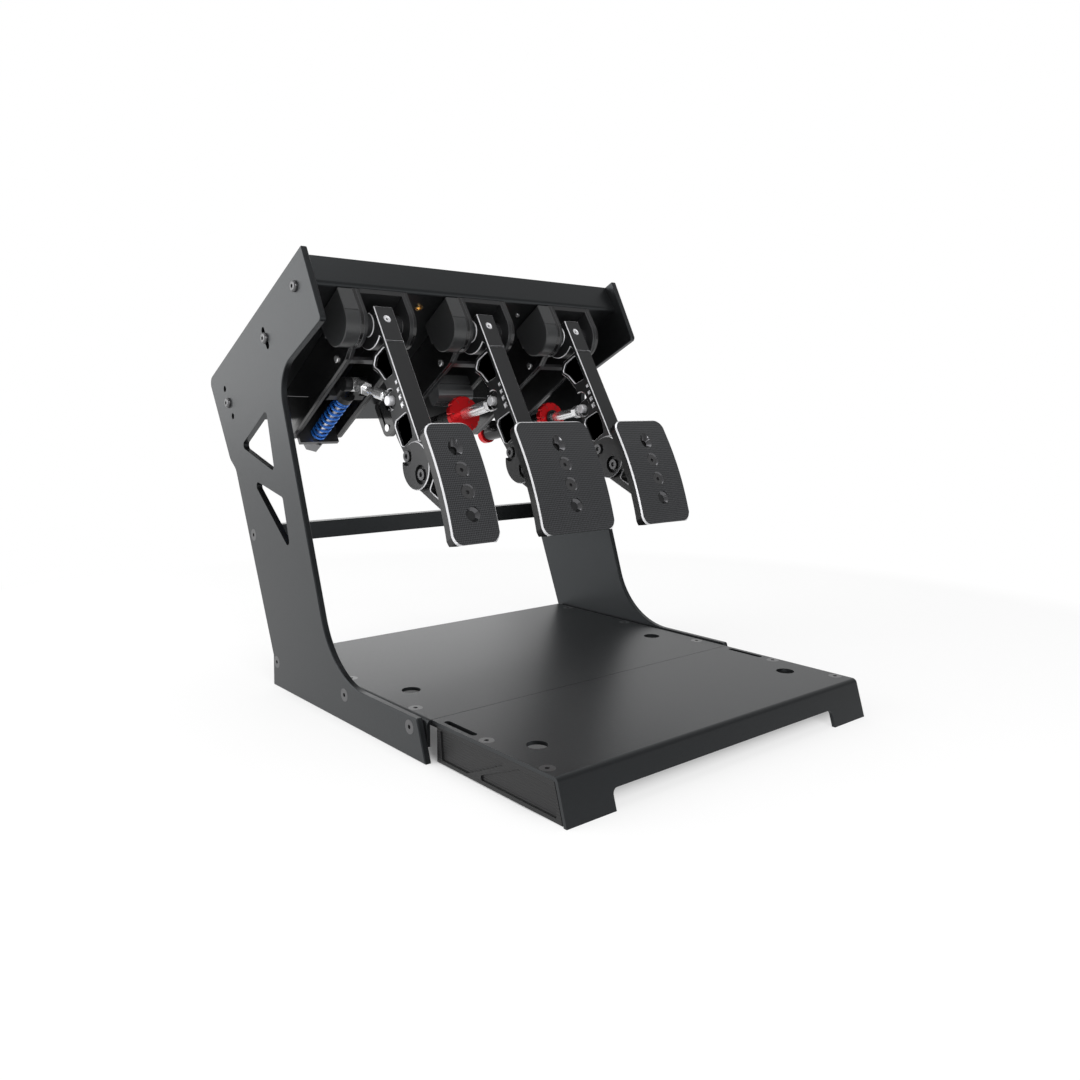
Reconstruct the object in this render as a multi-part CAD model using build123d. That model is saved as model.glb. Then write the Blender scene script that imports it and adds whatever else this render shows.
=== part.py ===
from build123d import *
from math import atan2, ceil, cos, degrees, hypot, pi, radians, sin
import os

os.makedirs("parts", exist_ok=True)

# Overall size of the set, feet to tips
width = 384.0
length = 562.0
height = 415.6

# Side plates, laser cut from flat bar stock
side_thickness = 6.0
side_depth = 406.6
edge_break = 0.7
side_gap = width - 2 * side_thickness
half_gap = side_gap / 2
rear_y = length / 2
front_y = -length / 2
window_radius = 4.0

# Heel plates, folded sheet
sheet = 3.0
bend = 4.5
heel_height = 33.2
heel_rear_length = 261.9
heel_rear_inset = 6.7
heel_flange = 22.0
seam_gap = 0.4
foot_flare = 10.5
foot_width = 47.0
foot_notch = 15.0
cover_inset = 10.1
cover_wall = 3.4
cover_recess = 1.4
side_lip = 1.0
bolt_hole_diameter = 16.6
bolt_hole_x = 152.2
bolt_hole_rear_y = -43.5
bolt_hole_front_y = -214.5
heel_screw_x = 175.3
heel_screw_ys = [118.0, 20.8, -86.5, -183.5, -253.0]
cable_slot_width = 5.5
cable_slot_length = 40.0
cable_slot_y = -150.0
joiner_width = 15.0
joiner_thickness = 4.0
joiner_length = 245.0
joiner_centre_y = -142.0

# Screws: head sizes of metric socket, button and countersunk screws
screw_radius = 3.0
fit_gap = 0.1
button_head = 5.25
button_rise = 3.0
flat_head = 6.0
cap_head = 5.0
cap_rise = 6.0
socket_size = 2.0
socket_depth = 2.2
washer_radius = 7.5
washer_rise = 1.4

# Deck that carries the pedal modules, a folded tray hung at a slope
deck_slope = 33.07
deck_length = 228.0
deck_front_rise = 31.5
deck_flange = 19.4
deck_rear_rise = 12.0
deck_screw_rise = 9.7
deck_screw_reach = 18.0
slot_reach = 77.7
rear_screw_reach = 189.4
slot_sweep = 13.0
spare_step = 5.0
insert_x = -63.7
insert_reach = 21.5
insert_radius = 4.2
rivet_xs = [43.5, 59.3]
rivet_radius = 2.2

# Rear cross bar between the side plates
bar_height = 18.0
bar_depth = 12.0

# Pedal module
module_pitch = 116.7
pivot_reach = 23.5
pivot_drop = 23.7
ear_radius = 21.8
channel = 44.0
cheek = 3.9
side_cover = 3.5
rail_drop = 45.0
rail_start = 48.0
rail_end = 197.5
lug_reach = 188.0
lug_drop = 35.0
lug_radius = 9.5
base_plate = 5.0
neck_plate = 3.5
neck_reach = 50.0
neck_depth = 6.0
sensor_width = 14.5
axle_radius = 6.0
running_gap = 0.05
face_gap = 0.3
module_screw_x = 14.0
module_screw_reaches = [60.0, 150.0]

# Pedal arm
arm_lean = 1.77
arm_length = 150.0
arm_width = 20.0
arm_wall = 3.5
arm_web = 4.5
arm_face = 17.65
arm_top = 9.1
hub_radius = 22.6
hub_boss = 10.5
joint_radius = 21.5
joint_face = 13.4
tongue = 15.4
joint_offset = 5.4
joint_bolt_head = 5.0
joint_counterbore = 8.7
counterbore_depth = 3.4
link_bolt_radius = 3.0
link_eye = 8.0
link_eye_width = 8.0
link_lug = 8.6
scallop_radius = 9.3
nut_start = 12.0
link_reach = 77.0
throttle_link_reach = 85.8
link_rear = 5.9
etch_size = 3.4
etch_depth = 0.3

# Pedal faces
pad_height = 109.0
pad_thickness = 9.0
pad_face = 52.6
pad_top = 136.6
pad_flat = 52.0
pad_curve_radius = 134.0
pad_corner = 11.0
pad_rim = 1.3
pad_hole_pitch = 20.0
pad_first_hole = 20.5
pad_hole_radius = 3.4
pad_sink_radius = 7.2
pad_flange_width = 30.0
pad_flange = 4.5
pad_widths = {"clutch": 54.0, "brake": 93.0, "throttle": 73.0}

# Clutch linkage: rod, carriage and return spring
carriage_reach = 91.7
carriage_drop = 43.0
rod_radius = 3.8
rod_nut = 6.2
spring_wire = 2.8
spring_radius = 7.0
spring_start = 127.5
spring_length = 58.0
spring_turns = 9
guide_radius = 3.6
end_plate = 4.5
preload_nut_radius = 9.0
preload_nut_length = 14.0
carriage_nose = 17.0
carriage_head = 7.5
carriage_side = 19.5
carriage_travel = 26.0
knuckle_radius = 7.0
knuckle_slack = 0.8

# Brake and throttle struts
strut_end_reach = 198.0
strut_end_drop = 39.0
strut_pin_radius = 4.0
coupling_radius = 6.2
coupling_start = 22.0
coupling_length = 38.0
dial_start = coupling_start + coupling_length + face_gap
brake_dial_radius = 19.0
throttle_dial_radius = 17.5
dial_thickness = 7.0
dial_notches = 12
dial_notch = 1.6
brake_rod_radius = 4.5
throttle_rod_radius = 3.4
brake_stack_radius = 9.0
brake_stack_start = dial_start + dial_thickness + face_gap
brake_stack_length = 33.0
brake_stack_rings = 3
brake_tube_radius = 9.0
throttle_tube_radius = 8.6
tube_wall = 2.0
slide_slack = 0.9
knob_radius = 11.0
knob_thickness = 8.0
throttle_shoulder = 100.0
load_block_start = 88.5
load_block_end = 108.0
load_block_top = 30.0
load_block_drop = 58.5
load_block_radius = 10.0
load_block_groove = 2.0

over = 1.0
half_turn = 180.0
quarter_turn = 90.0


def save(name, shape):
    """Write one node's solids to its own file."""
    solids = shape.solids()
    export_step(Compound(solids) if len(solids) > 1 else solids[0], f"parts/{name}.step")
    print(name, len(solids), "solid" if len(solids) == 1 else "solids")


def outline(points, radii):
    """Closed flat face whose corners have the given radii."""
    return make_face(FilletPolyline(*points, radius=radii, close=True))


def slab(face, x_low, x_high):
    """Face drawn in the YZ plane, drawn out along X between two planes."""
    return extrude(Plane.YZ.offset(x_low) * face, amount=x_high - x_low)


def bar_x(y, z, radius, x_low, x_high):
    """Round bar along X."""
    return slab(Pos(y, z) * Circle(radius), x_low, x_high)


def bar_z(x, y, radius, z_low, z_high):
    """Round bar along Z."""
    return extrude(Plane.XY.offset(z_low) * Pos(x, y) * Circle(radius), amount=z_high - z_low)


def block(x_low, x_high, y_low, y_high, z_low, z_high):
    """Rectangular block between six planes."""
    size = (x_high - x_low, y_high - y_low, z_high - z_low)
    centre = Pos((x_low + x_high) / 2, (y_low + y_high) / 2, (z_low + z_high) / 2)
    return centre * Box(*size)


def hex_face(across_corners):
    """Regular hexagon by its corner radius."""
    return RegularPolygon(across_corners, 6)


def mirrored(shape):
    """The same piece on the other side of the set."""
    return mirror(shape, about=Plane.YZ)


def flat_screw(grip):
    """Countersunk screw, its flat top at the origin and its shank downward."""
    cone = extrude(Circle(flat_head), amount=-(flat_head - screw_radius), taper=45.0)
    shank = bar_z(0, 0, screw_radius, -grip, 0)
    socket = extrude(hex_face(socket_size), amount=-socket_depth)
    return cone + shank - socket


def flat_sink(depth):
    """Cutter for a countersunk screw: cone and clearance hole."""
    cone = extrude(Circle(flat_head + fit_gap), amount=-(flat_head - screw_radius), taper=45.0)
    return cone + bar_z(0, 0, screw_radius + fit_gap, -depth, 0)


def button_screw(grip):
    """Button-head screw, the underside of its head at the origin."""
    dome = Pos(0, 0, button_rise / 2) * Cylinder(button_head, button_rise)
    dome = fillet(dome.edges().sort_by(Axis.Z)[-1], button_rise * 0.7)
    socket = extrude(Plane.XY.offset(button_rise) * hex_face(socket_size), amount=-socket_depth)
    return dome + bar_z(0, 0, screw_radius, -grip, 0) - socket


def cap_screw(grip, head, rise):
    """Socket-head screw, the underside of its head at the origin."""
    socket = extrude(Plane.XY.offset(rise) * hex_face(head / 2), amount=-rise / 2)
    return bar_z(0, 0, head, 0, rise) + bar_z(0, 0, screw_radius, -grip, 0) - socket


def facing(point, normal):
    """Placement whose Z axis points along a normal."""
    return Plane(origin=point, z_dir=normal).location


# Side plate outline, as shares of the plate's depth from the rear and of its height
tip_share = (0.5385, 1.0013)
brow_share = (0.622, 0.8446)
notch_share = (0.4023, 0.7372)
shin_share = 0.6294
toe_share = 0.971
heel_share = (0.3244, 0.0)
calf_share = (0.3278, 0.0731)
kink_shares = [(0.1414, 0.5084), (0.1082, 0.5308)]
shoulder_share = (-0.0082, 0.728)
upper_window_shares = [(0.335, 0.6569), (0.1813, 0.5671), (0.3701, 0.5154)]
lower_window_shares = [(0.2371, 0.493), (0.4083, 0.4596), (0.4434, 0.3359)]
deck_origin_share = (0.5546, 0.924)
bar_share = (0.2364, 0.3547)
brow_radius = 4.0
notch_radius = 34.0
shin_radius = 77.0
toe_radius = 2.0
calf_radius = 6.0
kink_radius = 14.0
shoulder_radius = 9.0
tip_radius = 1.5
base_screw_inset = 8.3


def side_point(share):
    """Point of the side plate from its shares."""
    return rear_y - share[0] * side_depth, share[1] * height


ledge = heel_height + side_lip
bar_y, bar_z_centre = side_point(bar_share)
deck_y, deck_z = side_point(deck_origin_share)
deck_place = Location((0, deck_y, deck_z), (-deck_slope, 0, 0))
side_front_y = rear_y - side_depth
seam_y = side_point(heel_share)[0] - heel_rear_inset - heel_rear_length
base_screw_z = heel_height - base_screw_inset
base_screw_ys = [
    side_point(heel_share)[0] - heel_rear_inset - 0.005 * side_depth,
    side_point(heel_share)[0] - 0.358 * side_depth,
    side_front_y + 0.056 * side_depth,
]


def deck_point(reach, rise):
    """Point of the sloping deck in the side view: along it and square to it."""
    slope = radians(deck_slope)
    y = deck_y + reach * cos(slope) + rise * sin(slope)
    z = deck_z - reach * sin(slope) + rise * cos(slope)
    return y, z


top_screw = deck_point(deck_screw_reach, deck_screw_rise)
slot_screw = deck_point(deck_screw_reach + slot_reach, deck_screw_rise)
rear_screw = deck_point(deck_screw_reach + rear_screw_reach, deck_screw_rise)


def around_top(radius, angle):
    """Point on a circle about the deck's top screw, turned from the deck's slope."""
    turned = radians(-deck_slope + angle)
    return top_screw[0] + radius * cos(turned), top_screw[1] + radius * sin(turned)


def side_plate():
    """Right-hand side plate with windows, tilt slot and screw holes."""
    points = [
        (side_front_y, 0),
        side_point(heel_share),
        side_point(calf_share),
        side_point(kink_shares[0]),
        side_point(kink_shares[1]),
        side_point(shoulder_share),
        side_point(tip_share),
        side_point(brow_share),
        side_point(notch_share),
        (side_point((shin_share, 0))[0], ledge),
        (side_point((toe_share, 0))[0], ledge),
    ]
    radii = [0, 0, calf_radius, kink_radius, kink_radius, shoulder_radius]
    radii += [tip_radius, brow_radius, notch_radius, shin_radius, toe_radius]
    plate = slab(outline(points, radii), half_gap, half_gap + side_thickness)
    outer = plate.faces().sort_by(Axis.X)
    plate = chamfer(outer[-1].edges() + outer[0].edges(), edge_break)
    for shares in (upper_window_shares, lower_window_shares):
        window = outline([side_point(share) for share in shares], window_radius)
        plate -= slab(window, half_gap - over, half_gap + side_thickness + over)
    arc = ThreePointArc(*[around_top(slot_reach, turn * slot_sweep / 2) for turn in (-1, 0, 1)])
    slot = SlotArc(arc, 2 * (screw_radius + fit_gap))
    plate -= slab(slot, half_gap - over, half_gap + side_thickness + over)
    holes = [top_screw, rear_screw]
    holes += [around_top(rear_screw_reach, turn * spare_step) for turn in (-1, 1)]
    for y, z in holes:
        plate -= bar_x(y, z, screw_radius + fit_gap, half_gap - over, half_gap + side_thickness + over)
    for y, z in sunk_screws():
        plate -= facing((half_gap + side_thickness, y, z), (1, 0, 0)) * flat_sink(side_thickness + over)
    return plate


def sunk_screws():
    """Places of the countersunk screws in a side plate."""
    return [(bar_y, bar_z_centre)] + [(y, base_screw_z) for y in base_screw_ys]


right_plate = side_plate()
save("side_plate_right", right_plate)
save("side_plate_left", mirrored(right_plate))


def both_sides(shape):
    """A piece and its mirror image, as separate solids."""
    return Compound(shape.solids() + mirrored(shape).solids())


# Screws through the side plates
button_grip = side_thickness + sheet + 2 * over
button = button_screw(button_grip)
buttons = [
    facing((half_gap + side_thickness, y, z), (1, 0, 0)) * button
    for y, z in (top_screw, slot_screw, rear_screw)
]
save("deck_screws", both_sides(Compound([screw.solid() for screw in buttons])))
sunk = flat_screw(side_thickness + sheet + 2 * over)
sunk_places = [facing((half_gap + side_thickness, y, z), (1, 0, 0)) for y, z in sunk_screws()]
save("base_screws", both_sides(Compound([(place * sunk).solid() for place in sunk_places])))


def cross_bar():
    """Flat bar across the back, tapped at both ends."""
    face = RectangleRounded(bar_depth, bar_height, edge_break)
    bar = slab(Pos(bar_y, bar_z_centre) * face, -half_gap, half_gap)
    for sign in (1, -1):
        hole = bar_x(bar_y, bar_z_centre, screw_radius + fit_gap, 0, sheet + 3 * over)
        bar -= Pos(half_gap - sheet - 3 * over, 0, 0) * hole if sign > 0 else Pos(-half_gap, 0, 0) * hole
    return bar


save("rear_cross_bar", cross_bar())


def channel_face(half, top, drop):
    """Folded sheet section: a flat top with a flange down each side."""
    points = [
        (-half, top - drop),
        (-half, top),
        (half, top),
        (half, top - drop),
        (half - sheet, top - drop),
        (half - sheet, top - sheet),
        (sheet - half, top - sheet),
        (sheet - half, top - drop),
    ]
    inner = bend - sheet
    return outline(points, [0, bend, bend, 0, 0, inner, inner, 0])


def heel_rear_plate():
    """Rear heel plate, flanged at its sides and back."""
    back_y = seam_y + heel_rear_length
    section = Plane.XZ.offset(-back_y) * channel_face(half_gap, heel_height, heel_flange)
    plate = extrude(section, amount=heel_rear_length)
    inner = half_gap - sheet - bend
    plate += block(-inner, inner, back_y - sheet, back_y, heel_height - heel_flange, heel_height)
    for sign in (1, -1):
        x = sign * bolt_hole_x
        plate -= bar_z(x, bolt_hole_rear_y, bolt_hole_diameter / 2, 0, heel_height + over)
        for y in base_screw_ys:
            low = sign * half_gap - over - sheet
            plate -= bar_x(y, base_screw_z, screw_radius + fit_gap, low, low + 2 * (sheet + over))
        for y in heel_screw_ys[:3]:
            plate -= Pos(sign * heel_screw_x, y, heel_height) * flat_sink(2 * sheet)
    return plate


save("heel_plate_rear", heel_rear_plate())
front_half = width / 2 - cover_inset
bend_y = front_y + foot_flare


def heel_front_plate():
    """Front heel plate: flat top, front flange sloping out to two feet."""
    start = seam_y - seam_gap
    run = hypot(foot_flare, heel_height)
    lean = sheet * run / heel_height
    inner_y = bend_y + lean - sheet * foot_flare / heel_height
    points = [
        (start, heel_height),
        (bend_y, heel_height),
        (front_y, 0),
        (front_y + lean, 0),
        (inner_y, heel_height - sheet),
        (start, heel_height - sheet),
    ]
    plate = slab(outline(points, [0, bend, 0, 0, bend - sheet, 0]), -front_half, front_half)
    notch_half = front_half - foot_width
    notch_face = RectangleRounded(2 * notch_half, 2 * foot_notch, bend)
    plate -= extrude(Plane.XZ.offset(-bend_y) * notch_face, amount=length, both=True)
    for sign in (1, -1):
        plate -= bar_z(sign * bolt_hole_x, bolt_hole_front_y, bolt_hole_diameter / 2, 0, heel_height + over)
        for y in heel_screw_ys[3:]:
            plate -= Pos(sign * heel_screw_x, y, heel_height) * flat_sink(2 * sheet)
        slot = Rot(0, 0, quarter_turn) * SlotOverall(cable_slot_length, cable_slot_width)
        place = Pos(sign * heel_screw_x, cable_slot_y, heel_height - sheet - over)
        plate -= extrude(place * slot, amount=sheet + 2 * over)
    return plate


save("heel_plate_front", heel_front_plate())

# Recessed panels of the end covers, as shares of the cover's length from the rear and its height
rear_panel_shares = [(0.03, 0.92), (0.56, 0.86), (0.56, 0.78), (0.27, 0.13), (0.045, 0.13)]
front_panel_shares = [(0.385, 0.26), (0.68, 0.88), (0.945, 0.86), (0.955, 0.14), (0.385, 0.14)]
cover_rear_gap = 8.0
cover_front_gap = 0.9


def heel_cover():
    """Moulded end cover under the front plate's edge, with two sunk panels."""
    top = heel_height - sheet - fit_gap
    rear = seam_y - cover_rear_gap
    lean = foot_flare / heel_height
    front_top = front_y + foot_flare + sheet + cover_front_gap - (heel_height - top) * lean
    front_low = front_top - top * lean
    points = [(rear, side_lip), (rear, top), (front_top, top), (front_low + side_lip * lean, side_lip)]
    cover = slab(outline(points, [0, 0, 0, 0]), front_half - cover_wall, front_half)
    reach = rear - front_low
    for shares in (rear_panel_shares, front_panel_shares):
        corners = [(rear - along * reach, up * top) for along, up in shares]
        panel = outline(corners, [side_lip, side_lip, side_lip, side_lip, side_lip])
        cover -= slab(panel, front_half - cover_recess, front_half + over)
    return cover


right_cover = heel_cover()
save("heel_cover_right", right_cover)
save("heel_cover_left", mirrored(right_cover))


def heel_joiner():
    """Flat bar under the seam that holds the two heel plates together."""
    top = heel_height - sheet
    low_y = joiner_centre_y - joiner_length / 2
    right = front_half - cover_wall - face_gap
    bar = block(right - joiner_width, right, low_y, low_y + joiner_length, top - joiner_thickness, top)
    for y in heel_screw_ys[2:]:
        bar -= bar_z(heel_screw_x, y, screw_radius + fit_gap, 0, top + over)
    slot = Rot(0, 0, quarter_turn) * SlotOverall(cable_slot_length, cable_slot_width)
    bar -= extrude(Pos(heel_screw_x, cable_slot_y, top - joiner_thickness - over) * slot, amount=top)
    return bar


save("heel_joiners", both_sides(heel_joiner()))
heel_screw = flat_screw(sheet + joiner_thickness + over)
heel_screws = [Pos(heel_screw_x, y, heel_height) * heel_screw for y in heel_screw_ys]
save("heel_screws", both_sides(Compound([screw.solid() for screw in heel_screws])))

# Pedal modules sit side by side under the deck
module_centres = {"clutch": -module_pitch, "brake": 0.0, "throttle": module_pitch}


def pedal_deck():
    """Folded deck: front panel, flanges for the side screws, slots for the modules."""
    points = [
        (0, deck_front_rise),
        (0, 0),
        (deck_length, 0),
        (deck_length, deck_rear_rise),
        (deck_length - sheet, deck_rear_rise),
        (deck_length - sheet, sheet),
        (sheet, sheet),
        (sheet, deck_front_rise),
    ]
    inner = bend - sheet
    deck = slab(outline(points, [0, bend, bend, 0, 0, inner, inner, 0]), -half_gap, half_gap)
    corners = [(bend, 0), (deck_length - bend, 0), (deck_length - bend, deck_flange), (bend, deck_flange)]
    flange = slab(outline(corners, [0, 0, bend, bend]), half_gap - sheet, half_gap)
    for reach in (deck_screw_reach, deck_screw_reach + slot_reach, deck_screw_reach + rear_screw_reach):
        low = half_gap - sheet - over
        flange -= bar_x(reach, deck_screw_rise, screw_radius + fit_gap, low, half_gap + over)
    deck += flange
    deck += mirrored(flange)
    slot = Rot(0, 0, quarter_turn) * SlotOverall(2 * washer_radius, 2 * (screw_radius + fit_gap))
    for centre in module_centres.values():
        for reach in module_screw_reaches:
            for sign in (1, -1):
                deck -= extrude(Pos(centre + sign * module_screw_x, reach, -over) * slot, amount=sheet + 2 * over)
    deck -= bar_z(insert_x, insert_reach, insert_radius - over + fit_gap, -over, sheet + over)
    for x in rivet_xs:
        deck -= bar_z(x, insert_reach, rivet_radius / 2 + fit_gap, -over, sheet + over)
    return deck


save("pedal_deck", deck_place * pedal_deck())


def deck_insert():
    """Brass threaded insert pressed into the deck, its flange on the underside."""
    body = bar_z(insert_x, insert_reach, insert_radius - over, -over, sheet + over)
    flange = bar_z(insert_x, insert_reach, insert_radius, -over, 0)
    return body + flange - bar_z(insert_x, insert_reach, insert_radius / 2, -2 * over, sheet + 2 * over)


def deck_rivet(x):
    """Domed rivet with its tail above the deck."""
    head = bar_z(x, insert_reach, rivet_radius, -over, 0)
    return head + bar_z(x, insert_reach, rivet_radius / 2, -over, sheet + over)


save("deck_insert", deck_place * deck_insert())
save("deck_rivets", deck_place * Compound([deck_rivet(x).solid() for x in rivet_xs]))
module_screw_grip = sheet + washer_rise + base_plate - over / 2
module_screw = cap_screw(module_screw_grip, cap_head, cap_rise)
module_washer = bar_z(0, 0, washer_radius, 0, washer_rise) - bar_z(0, 0, screw_radius + fit_gap, -over, 2 * over + washer_rise)


def on_deck(shape, rise):
    """Copies of a fastener at every module screw, standing on the deck."""
    places = [
        Pos(centre + sign * module_screw_x, reach, rise)
        for centre in module_centres.values()
        for reach in module_screw_reaches
        for sign in (1, -1)
    ]
    return deck_place * Compound([(place * shape).solid() for place in places])


save("module_screws", on_deck(module_screw, sheet + washer_rise))
save("module_washers", on_deck(module_washer, sheet))

# Pedal module: the frame that hangs under the deck, drawn along the deck and square to it
ear_front = pivot_reach - ear_radius
neck_corner_shares = [(0.35, 0.94), (0.62, 0.96)]
panel_shares = [(0.20, 0.10), (0.80, 0.10), (0.86, 0.30), (0.58, 0.84), (0.24, 0.84)]
inner_half = channel / 2
cheek_outer = inner_half + cheek
cover_outer = cheek_outer + side_cover


def cheek_face():
    """Side of the module: round ear at the pivot, long rail, round rear lug."""
    ear = Pos(pivot_reach, -pivot_drop) * Circle(ear_radius)
    brow = outline([(ear_front, 0), (2 * pivot_reach, 0), (2 * pivot_reach, -pivot_drop), (ear_front, -pivot_drop)], [0, 0, 0, 0])
    rail_points = [(pivot_reach, 0), (rail_end, 0), (rail_end, -lug_drop - lug_radius)]
    rail_points += [(rail_start, -rail_drop), (pivot_reach + ear_radius / 2, -pivot_drop - ear_radius * 0.75)]
    rail = outline(rail_points, [0, lug_radius / 2, lug_radius, 2 * neck_plate, 0])
    return ear + brow + rail


def cheek_plate():
    """Right-hand cheek with its axle and pin bores."""
    plate = slab(cheek_face(), inner_half, cheek_outer)
    plate -= bar_x(pivot_reach, -pivot_drop, axle_radius + running_gap, inner_half - over, cheek_outer + over)
    return plate - bar_x(lug_reach, -lug_drop, strut_pin_radius + running_gap, inner_half - over, cheek_outer + over)


def cover_plate():
    """Outer side plate of a cheek, with a raised front panel over a sunk rear field."""
    plate = slab(cheek_face(), cheek_outer, cover_outer)
    field = outline(
        [
            (rail_end - 2 * side_cover, -side_cover),
            (rail_end - 2 * side_cover, -rail_drop + 2 * side_cover),
            (0.62 * rail_end, -rail_drop + 2 * side_cover),
            (0.88 * rail_end, -side_cover),
        ],
        [side_cover, side_cover, side_cover, 0],
    )
    plate -= slab(field, cover_outer - side_cover / 3, cover_outer + over)
    plate -= bar_x(pivot_reach, -pivot_drop, axle_radius + running_gap, cheek_outer - over, cover_outer + over)
    return plate - bar_x(lug_reach, -lug_drop, strut_pin_radius + running_gap, cheek_outer - over, cover_outer + over)


def base_block():
    """Plate under the deck between the cheeks, with the neck stop below it."""
    top = block(-inner_half, inner_half, ear_front, rail_end - lug_radius, -base_plate, 0)
    for reach in module_screw_reaches:
        for sign in (1, -1):
            top -= bar_z(sign * module_screw_x, reach, screw_radius + fit_gap, -base_plate - over, over)
    return top


def neck_stop():
    """Cross plate low between the cheeks, behind the pedal arm."""
    return block(-inner_half, inner_half, neck_reach, neck_reach + neck_depth, -rail_drop + over, -rail_drop + over + neck_plate)


def sensor_housing():
    """Angle sensor at the pivot, a D-shaped block outside the left ear."""
    front = outline([(ear_front, -over), (rail_start - over, -over), (rail_start - over, -pivot_drop), (ear_front, -pivot_drop)], [0, neck_plate, 0, 0])
    face = front + Pos(pivot_reach, -pivot_drop) * Circle(ear_radius - over / 2)
    body = slab(face, -cover_outer - sensor_width, -cover_outer)
    return chamfer(body.faces().sort_by(Axis.X)[0].edges(), edge_break)


def pivot_axle():
    """Axle through both ears with a head on the right."""
    shaft = bar_x(pivot_reach, -pivot_drop, axle_radius, -cover_outer + fit_gap, cover_outer + fit_gap)
    return shaft + bar_x(pivot_reach, -pivot_drop, axle_radius + sheet, cover_outer, cover_outer + sheet)


# Pedal arm, drawn from its pivot: down the arm and to the rear, as shares of its length
wall_shares = [
    (0.190, -0.1177), (0.184, 0.050), (0.243, 0.106), (0.307, 0.061), (0.427, 0.024),
    (0.613, 0.073), (0.733, 0.089), (0.827, 0.074), (0.900, 0.055), (0.890, -0.1177),
]
wall_corner_shares = [0, 0.030, 0.026, 0.050, 0.050, 0.150, 0.200, 0.060, 0, 0]
upper_window_arm_shares = [
    (0.214, -0.087), (0.209, 0.030), (0.244, 0.079), (0.298, 0.041), (0.385, 0.009), (0.400, -0.087),
]
lower_window_arm_shares = [
    (0.668, -0.087), (0.655, 0.040), (0.676, 0.066), (0.810, 0.064), (0.828, 0.040), (0.824, -0.067), (0.747, -0.087),
]
window_corner_share = 0.016
rib_shares = [(0.245, 0.275), (0.725, 0.742)]
scallop_share = (0.518, 0.024)
joint_bolt_shares = [(0.905, 0.021), (1.069, -0.060)]
etch_shares = [(0.463, -0.089), (0.513, -0.083), (0.560, -0.079), (0.611, -0.075)]
carrier_shares = [
    (0.900, -0.100), (0.975, -0.215), (0.985, -0.300), (1.560, -0.300),
    (1.540, -0.240), (1.336, -0.098), (1.110, 0.062),
]
carrier_window_shares = [(1.122, -0.119), (1.165, -0.040), (1.400, -0.205), (1.140, -0.205)]


def arm_point(share):
    """Point of the arm's side view from its shares: to the rear and down."""
    return share[1] * arm_length, -share[0] * arm_length


def arm_outline(shares, radius):
    """Closed face of the arm's side view."""
    return outline([arm_point(share) for share in shares], radius)


joint_y = -joint_offset
joint_z = -arm_length
half_arm = arm_width / 2
half_void = half_arm - arm_wall
half_tongue = tongue / 2
link_reaches = {"clutch": link_reach, "brake": link_reach, "throttle": throttle_link_reach}


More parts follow.
